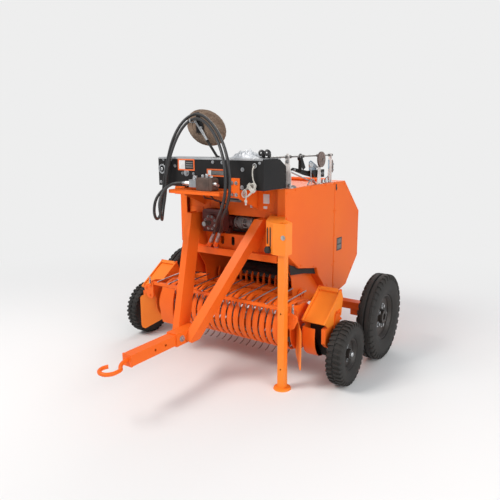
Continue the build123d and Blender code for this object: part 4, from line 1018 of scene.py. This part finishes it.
for x, z in ((373, 1528), (417, 1530)):
    turned(knobs, mm(x, -735, z), knob_way,
           [(0, 0), (0, 15), (4, 20), (22, 22), (28, 19), (31, 12), (31, 0)], 28)
    turned(knobs, mm(x, -722, 1496), up, [(0, 13), (16, 12), (30, 12), (30, 0)], 16)
    # Each knob gets a small pale dot on its face: a painted highlight.
    turned(dots, mm(x, -735, z) + knob_way.normalized() * 0.031, knob_way,
           [(0, 5), (1.5, 4), (2, 0)], 20)
block(knobs, (356, -744, 1496), (436, -704, 1504))
keep("lid_knobs", knobs, dark_label, bevel=0.8)
# The pale dots are painted highlights on the black knobs.
keep("lid_knob_painted_highlights", dots, pale_label)
print("film", round(film_area, 4), "m2")


# %% [markdown]
# The tying gear sits on the left top edge: grey trapezoid stands carry a long shaft, a cast pulley
# and a black housing that widens to the rear. A spring, rods and small levers fill the space.

# %% Tying gear
gear_x, roof = 441, 1290
stands = bmesh.new()
facing_plate(stands, [(-30, roof), (-30, 1372), (-14, 1506), (-4, 1524), (9, 1524), (14, 1500),
                      (30, 1372), (30, roof)], -530, 6, gear_x)
block(stands, (gear_x - 30, -536, roof), (gear_x + 30, -500, roof + 4))
plate(stands, [(-30, roof), (-14, 1484), (14, 1484), (30, roof)],
      mm(gear_x - 3, -60, 0), back, up, 6)
block(stands, (gear_x - 30, -82, roof), (gear_x + 22, -38, roof + 4))
facing_plate(stands, [(-17, roof), (-13, 1500), (-6, 1516), (8, 1516), (13, 1500), (17, roof)],
             128, 6, gear_x)
block(stands, (gear_x - 20, 122, roof), (gear_x + 20, 158, roof + 4))
keep("tying_stands", stands, stand_grey, bevel=0.8, replaces=["tying_plates"])
print("stands on the roof at", roof)

# %% Tying shaft, pulley and housing
shafts = bmesh.new()
turned(shafts, mm(gear_x, -740, 1502), back, [(0, 0), (0, 6), (890, 6), (890, 0)], 16)
for y in (-556, -498, -372, -318, -96, 98, 142):
    turned(shafts, mm(gear_x, y, 1502), back, [(0, 6), (0, 11), (12, 11), (12, 6)], 16)
turned(shafts, mm(gear_x - 6, -60, 1473), right, [(0, 0), (0, 8), (44, 8), (44, 0)], 16)
keep("tying_shaft", shafts, bare_steel, replaces=["tying_shafts"])
wheel = bmesh.new()
turned(wheel, mm(gear_x + 9, -60, 1473), right,
       [(0, 14), (0, 50), (1, 57), (3, 58), (6, 50), (8, 49), (10, 50), (13, 58), (15, 57),
        (16, 50), (15, 44), (11, 40), (11, 20), (16, 16), (18, 14), (18, 8)], 48)
keep("tying_pulley", wheel, pulley_brown)
black_bits = bmesh.new()
side_plate(black_bits, [(-470, 1402), (-401, 1424), (-186, 1393), (45, 1395), (45, 1336),
                        (-99, 1338), (-250, 1366), (-401, 1404)], 403, 6)
side_plate(black_bits, [(-186, 1393), (45, 1395), (45, 1336), (-99, 1338)], 409, 24)
plate(black_bits, [(-14, 1392), (-12, 1500), (-4, 1520), (8, 1520), (14, 1500), (12, 1392)],
      mm(gear_x - 12, -338, 0), right, up, -8)
side_plate(black_bits, [(-345, 1512), (-330, 1516), (-268, 1420), (-300, 1404), (-330, 1440)],
           gear_x - 9, 6)
turned(black_bits, mm(gear_x - 16, -352, 1489), right,
       [(0, 10), (0, 17), (5, 18), (18, 18), (23, 17), (23, 10)], 24)
keep("tying_housing", black_bits, black_coat, bevel=1.0, replaces=["guide_arm"])
print("tying shaft, pulley and housing done")

# %% Small tying parts
small_steel = bmesh.new()
rods = [
    (4, (432, -176, 1413), (434, -178, 1360), (436, -172, 1294)),
    (5, (430, -470, 1398), (425, -300, 1352), (428, -150, 1312), (430, -90, 1294)),
    (4, (452, 80, 1456), (456, 84, 1372), (458, 80, 1294)),
    (5, (446, 30, 1294), (450, 44, 1330), (446, 76, 1340), (440, 110, 1318), (436, 112, 1292)),
    (6, (436, -230, 1292), (438, -204, 1322), (438, -150, 1330), (440, -112, 1292)),
    (4, (446, 122, 1370), (447, 140, 1371), (448, 156, 1372)),
]
for radius, *points in rods:
    bar(small_steel, [mm(*point) for point in points], radius, 10)
turned(small_steel, mm(438, -196, 1436), Vector((1, -0.5, 0)),
       [(0, 0), (0, 14), (4, 19), (13, 19), (17, 14), (17, 0)], 24)
turned(small_steel, mm(436, 16, 1294), up, [(0, 22), (4, 22), (6, 13), (24, 12), (26, 0)], 20)
turned(small_steel, mm(440, 70, 1294), up, [(0, 16), (18, 15), (20, 9), (34, 8), (34, 0)], 16)
keep("tying_small_steel", small_steel, zinc)
lever = bmesh.new()
side_plate(lever, [(158, 1366), (150, 1400), (154, 1452), (166, 1466), (178, 1448), (184, 1402),
                   (176, 1366)], gear_x - 2, 5)
block(lever, (gear_x - 10, 146, 1366), (gear_x + 12, 158, 1382))
keep("tying_lever", lever, pulley_brown, bevel=0.8)
strap_shape = bmesh.new()
side_plate(strap_shape, [(46, 1398), (44, 1464), (52, 1470), (64, 1462), (66, 1400)],
           gear_x + 22, 3)
side_plate(strap_shape, [(-178, 1394), (-182, 1458), (-150, 1468), (-60, 1430), (-60, 1394)],
           416, 3)
keep("tying_straps", strap_shape, strap_blue, bevel=0.5)
hump = bmesh.new()
turned(hump, mm(gear_x, -470, roof - 2), up, [(0, 26), (6, 26), (12, 23), (18, 15), (20, 0)], 28)
for vert in hump.verts:
    vert.co.y += (vert.co.y - at(-0.470)) * 0.7
keep("roof_hump", hump, dull_grey)
coil = [mm(424 + 7 * math.cos(math.pi * i / 6), -120 + i * 0.66,
           1418 + 7 * math.sin(math.pi * i / 6)) for i in range(151)]
spring_shape = bmesh.new()
bar(spring_shape, coil, 1.4, 6)
keep("tying_spring", spring_shape, zinc)
gear_bolts = [
    (425, -536.3, 1310, forward), (457, -536.3, 1310, forward), (441, -536.3, 1470, forward),
    (433.3, -20, 1366, right), (433.3, 20, 1366, right), (409.3, -380, 1408, right),
    (444.2, 168, 1430, right), (444.2, 166, 1384, right), (428, -516, 1294, up),
    (454, -516, 1294, up),
]
bolts("tying_bolts", "chassis", [(mm(x, y, z), way, 13) for x, y, z, way in gear_bolts])


# %% [markdown]
# Under the panel the gearbox drives a slip clutch. Its case gets a bolted cover, plugs and a guard
# ring, and the clutch is a stack of plates that springs press together.

# %% Gearbox and clutch
case = bmesh.new()
turned(case, mm(-125, -664, 1025), forward,
       [(0, 56), (4, 56), (6, 52), (8, 30), (14, 27), (15, 18)], 40)
turned(case, mm(-190, -628, 1092), up, [(0, 14), (12, 14), (14, 10), (24, 10), (25, 0)], 20)
turned(case, mm(-70, -640, 960), forward, [(0, 12), (9, 12), (10, 0)], 6)
for z in (958, 1000, 1052, 1092):
    block(case, (-216, -646, z - 3), (-34, -640, z + 3))
keep("gearbox_cover", case, dark_red, bevel=1.2)
head_places = arc_points(mm(-125, -670, 1025), right, up, 46, [t + 0.39 for t in turns(8)])
bolts("gearbox_bolts", "chassis", [(place, forward, 12) for place in head_places], dull_grey)
stack = bmesh.new()
clutch_rows = [(-14, 16), (8, 16), (8, 44), (20, 44), (20, 34), (46, 34), (46, 50), (54, 50),
               (54, 46), (58, 46), (58, 51), (64, 51), (64, 46), (68, 46), (68, 51), (74, 51),
               (74, 40), (84, 38), (84, 26), (118, 24), (118, 40), (128, 42), (150, 42), (158, 36),
               (158, 20), (246, 20), (246, 38), (262, 38), (262, 18), (396, 16), (400, 0)]
turned(stack, mm(0, -516, 1025), right, clutch_rows, 40)
keep("slip_clutch", stack, dull_grey, bevel=0.8, replaces=["cross_shaft"])
springs = bmesh.new()
for t in turns(6):
    y, z = -516 + 38 * math.cos(t), 1025 + 38 * math.sin(t)
    bar(springs, [mm(78 + k * 0.6, y + 6.5 * math.cos(k * 0.9), z + 6.5 * math.sin(k * 0.9))
                  for k in range(56)], 1.8, 6)
    turned(springs, mm(42, y, z), right,
           [(0, 0), (0, 6), (5, 6), (5, 3.5), (76, 3.5), (76, 7), (83, 7), (83, 0)], 6)
keep("clutch_springs", springs, bare_steel)


# %% [markdown]
# The front panel carries a bright blank plate, a dark strip and a pale strip. The gate has a blank
# dark plate, and a small black catch shows at the top of the seam.

# %% Blank plates
panel_y = -564.0
front_plate("panel_plate", (196, 318), (1180, 1246), 1.6, pale_label, y=panel_y)
front_plate("panel_strip_dark", (-24, 78), (1175, 1203), 1.4, dull_grey, y=panel_y,
            cut=1)
front_plate("panel_strip_slot", (-18, 60), (1190, 1199), 1.8, dark_label, y=panel_y, cut=1)
front_plate("panel_strip_pale", (156, 300), (1143, 1161), 1.2, pale_label, y=panel_y, cut=1)
for name, (y0, y1), (z0, z1), x, thick, material, slot in (
        ("gate_plate_dark", (226, 322), (722, 828), 470.0, 1.2, dark_label, "black_paint"),
        ("gate_plate_pale", (236, 312), (780, 818), 471.2, 0.6, dull_grey, "zinc_plate"),
        ("gate_plate_low", (236, 312), (734, 768), 471.2, 0.6, dull_grey, "zinc_plate")):
    shape = bmesh.new()
    side_plate(shape, [(y0, z0), (y1, z0), (y1, z1), (y0, z1)], x, thick)
    keep(name, shape, material, "tailgate")
catch = bmesh.new()
side_plate(catch, [(180, 1272), (196, 1270), (190, 1254), (204, 1240), (186, 1222), (180, 1238)],
           470, 5)
keep("gate_catch", catch, dark_label, "tailgate", bevel=0.8)
print("plates done")


# %% [markdown]
# Between the bands the reel's spring tines reach down and bend forward at their tips. Each is one
# bent wire with a coil where it is clamped to its bar, made once and copied along the three bars.

# %% Spring tines
reel_middle = mm(0, -605, 362)
tine_step, tine_count, bar_reach = 55.0, 20, 112.0
tine_inputs = [("Count", "NodeSocketInt"), ("Step", "NodeSocketFloat"),
               ("Finish", "NodeSocketMaterial")]
tine_tree, given, result = new_tree("tines along a bar", tine_inputs)
step = add_node(tine_tree, "ShaderNodeCombineXYZ", X=given["Step"])
row = add_node(tine_tree, "GeometryNodeMeshLine", Count=given["Count"], Offset=step.outputs[0])
end_tree(tine_tree, result, row.outputs[0], given["Geometry"], given["Finish"])


def wire(row_angle, radius, angle):
    """A point of a wire at a radius and angle about the reel's line, in metres from it."""
    return arc_points(Vector(), back, up, radius, [math.radians(row_angle + angle)])[0]


all_tines = bmesh.new()
for row_angle in (262.0, 142.0, 22.0):
    one = bmesh.new()
    heading = math.radians(row_angle)
    root = wire(row_angle, bar_reach, 0)
    coil = [root + Vector(((-7 + 14 * k / 26) / 1000, 0.0165 * math.cos(heading + k * 0.72),
                           0.0165 * math.sin(heading + k * 0.72))) for k in range(27)]
    bar(one, coil, 2.4, 6)
    bends = ((128, 1.5), (150, 2.5), (172, 3.0), (186, 1.5), (200, -2.5), (212, -7.5), (220.5, -12))
    bar(one, [wire(row_angle, radius, angle) for radius, angle in bends], 4.0, 8)
    line = grown(tine_tree, mesh_of(one, "tine"),
                 {"Count": tine_count, "Step": tine_step / 1000, "Finish": dark_spring})
    line.transform(Matrix.Translation(reel_middle - right * tine_step * (tine_count - 1) / 2000))
    all_tines.from_mesh(line)
keep("reel_spring_tines", all_tines, dark_spring, "reel", replaces=["reel_tines"])
print("tines", 3 * tine_count)


# %% [markdown]
# The pickup's ends are sheet metal: a sloping cover with folded edges, a curved skirt under it, and
# a bracket with bolts and a spring at the front corner. A curved shield closes the far end's bands.

# %% Ends of the pickup
for side_name, hand in hands:
    out = right * hand
    folds = bmesh.new()
    low_edge, high_edge = mm(hand * 660, -700, 440), mm(hand * 660, -455, 612)
    slope_up = (high_edge - low_edge).normalized()
    run = (high_edge - low_edge).length * 1000
    for x, wide, tall in ((0, 12, 14), (158, 12, 10)):
        plate(folds, [(x, 0), (x + wide, 0), (x + wide, run), (x, run)], low_edge,
              out, slope_up, tall * hand)
    plate(folds, [(0, -2), (170, -2), (170, 8), (0, 8)], low_edge, out, slope_up, 9 * hand)
    plate(folds, [(12, run - 30), (158, run - 30), (150, run), (20, run)], low_edge,
          out, slope_up, 16 * hand)
    keep("cover_folds_" + side_name, folds, painted_light_orange, "pickup", bevel=1.5)
    skirt = bmesh.new()
    curve = [(-712, 404), (-716, 340), (-708, 280), (-684, 230), (-648, 196),
             (-604, 182), (-560, 188)]
    inner = [(y + 3 * math.cos(math.radians(20 + 22 * i)),
              z + 3 * math.sin(math.radians(20 + 15 * i))) for i, (y, z) in enumerate(curve)]
    side_plate(skirt, curve + inner[::-1], hand * 672, 92 * hand)
    side_plate(skirt, curve + [(-470, 380), (-480, 440), (-600, 420)], hand * 672, 3 * hand)
    side_plate(skirt, [(-690, 404), (-686, 300), (-640, 262), (-560, 300), (-540, 420)],
               hand * 798, 30 * hand)
    keep("pickup_skirt_" + side_name, skirt, orange, "pickup", bevel=1.0)
    corner = bmesh.new()
    plate(corner, [(592, 536), (688, 500), (688, 470), (660, 414), (640, 404), (606, 404),
                   (592, 430)], mm(0, -803, 0), out, up, 5 * hand)
    side_plate(corner, [(-803, 500), (-803, 412), (-700, 420), (-700, 500)], hand * 606, 5 * hand)
    plate(corner, [(606, -803), (684, -803), (650, -742), (611, -700)],
          mm(0, 0, 496), out, back, 4 * hand)
    keep("pickup_corner_" + side_name, corner, orange, "pickup", bevel=1.0)
    coil = [mm(hand * (640 + 8 * math.cos(k * 0.6)), -790 + 8 * math.sin(k * 0.6), 501 + k * 0.55)
            for k in range(90)]
    coil_shape = bmesh.new()
    bar(coil_shape, coil, 1.7, 6)
    turned(coil_shape, mm(hand * 640, -790, 499), up,
           [(0, 0), (0, 4), (66, 4), (66, 8), (72, 8), (72, 0)], 6)
    keep("pickup_spring_" + side_name, coil_shape, zinc, "pickup")
    slope_out = Vector((0, -slope_up.z, slope_up.y))
    heads = [(x, -808.4, z, forward, 13) for x, z in ((618, 506), (662, 488), (628, 430))]
    heads += [(x, -462, z, slope_out, 12) for x, z in ((666, 618), (824, 614))]
    heads += [(838.4, y, z, out, 13) for y, z in ((-500, 470), (-536, 482), (-484, 424))]
    rows = [(mm(hand * x, y, z), way, size) for x, y, z, way, size in heads]
    bolts("pickup_bolts_" + side_name, "pickup", rows, orange)
inner_wing = bmesh.new()
face = [(-800, 514), (-822, 446), (-833, 362), (-828, 298), (-810, 236)]
side_plate(inner_wing, face + [(y + 3, z) for y, z in face[::-1]], -500, 128)
keep("pickup_inner_wing", inner_wing, orange, "pickup", bevel=1.0)
# Behind each skirt a thin black sheet in tyre rubber fills the gap: painted shade between the skirt
# and the plate beyond it.
for side_name, hand in hands:
    shade = bmesh.new()
    near, far = sorted((hand * 676, hand * 800))
    block(shade, (near, -604, 190), (far, -600, 420))
    keep("pickup_painted_shade_" + side_name, shade, rubber, "pickup")
print("pickup ends done")


# %% [markdown]
# The rest holds and closes the machine: bolts through the drawbar's ears and sleeve, in the leg's
# bracket and along the covers, a rubber flap and seal, and the axle's painted beam and dark stubs.

# %% Bolts and small parts of the frame
rows = []
for _, hand in hands:
    rows += [(mm(hand * 322, -576.4, z), forward, 17) for z in (1052, 1000)]
    rows += [(mm(hand * 43.3, y, 345), right * hand, 24) for y in (-1110, -1190)]
rows += [(mm(619, -882.4, 1020), forward, 17)]
bolts("frame_bolts", "chassis", rows)
cover_edge = [(-586, 1262), (-586, 1090), (-586, 900), (-470, 1276), (-240, 1276), (0, 1276),
              (150, 1276), (150, 1060), (150, 840), (150, 620), (60, 470), (-380, 722), (-180, 676)]
gate_edge = [(190, 1276), (190, 1060), (190, 860), (190, 640), (344, 1262), (500, 1140), (650, 990),
             (650, 760), (650, 624), (540, 516), (430, 410), (300, 388), (190, 440)]
for side_name, hand in hands:
    for kind, body, edge_line in (("cover", "chassis", cover_edge),
                                  ("gate", "tailgate", gate_edge)):
        rows = [(mm(hand * 470.2, y, z), right * hand, 10) for y, z in edge_line]
        bolts(f"{kind}_bolts_{side_name}", body, rows, orange, sides=16, height=0.4)
print("frame bolts done")

# %% Rubber, gusset and axle
flap = bmesh.new()
side_plate(flap, [(-501, 748), (-328, 690), (-93, 664), (-52, 640), (-40, 600), (-62, 588),
                  (-282, 640), (-479, 668)], 440, 6)
keep("rubber_flap", flap, rubber, bevel=1.0)
seal = bmesh.new()
block(seal, (-398, 46, 392), (398, 50, 436))
keep("pan_seal", seal, rubber)
gusset = bmesh.new()
side_plate(gusset, [(-590, 790), (-590, 690), (-480, 572), (-330, 534), (-200, 560),
                    (-200, 700), (-400, 740)], -463, 3)
keep("far_gusset", gusset, orange)
rubber_pad = bmesh.new()
turned(rubber_pad, mm(500, -850, 925), Vector((-0.3, -0.9, 0.2)),
       [(0, 0), (0, 20), (6, 24), (26, 22), (32, 14), (32, 0)], 24)
keep("leg_rubber", rubber_pad, rubber)
# The bracket's two slots are thin black plates on its face, not cut through it: painted shade for
# the openings.
slot_shape = bmesh.new()
slot_across = (mm(545, -882, 0) - mm(450, -812, 0)).normalized()
for start, height in ((12, 112), (62, 134)):
    low, high, corner = 1010 - height / 2, 1010 + height / 2, 12
    outline = [(start, low + corner), (start + corner, low), (start + 2 * corner, low + corner),
               (start + 2 * corner, high - corner), (start + corner, high), (start, high - corner)]
    plate(slot_shape, outline, mm(450, -812, 0), slot_across, up, 0.8)
keep("leg_bracket_slot_shade", slot_shape, dark_label)
beam = bmesh.new()
beam_end, stub_length = 834, 120
stub_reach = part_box("axle")[1].x * 1000 - beam_end + 2
block(beam, (-beam_end, -40, 345), (beam_end, 40, 400))
for _, hand in hands:
    near, far = sorted((hand * (beam_end - stub_length), hand * beam_end))
    block(beam, (near, -25, 295), (far, 25, 345))
keep("axle_beam", beam, orange, bevel=4.0, replaces=["axle"])
stubs = bmesh.new()
for _, hand in hands:
    turned(stubs, mm(hand * (beam_end - 2), 0, 320), right * hand,
           [(0, 0), (0, 25), (stub_reach, 25), (stub_reach, 0)], 32)
keep("axle_stubs", stubs, rim_black, replaces=["axle"])
print("frame details done")
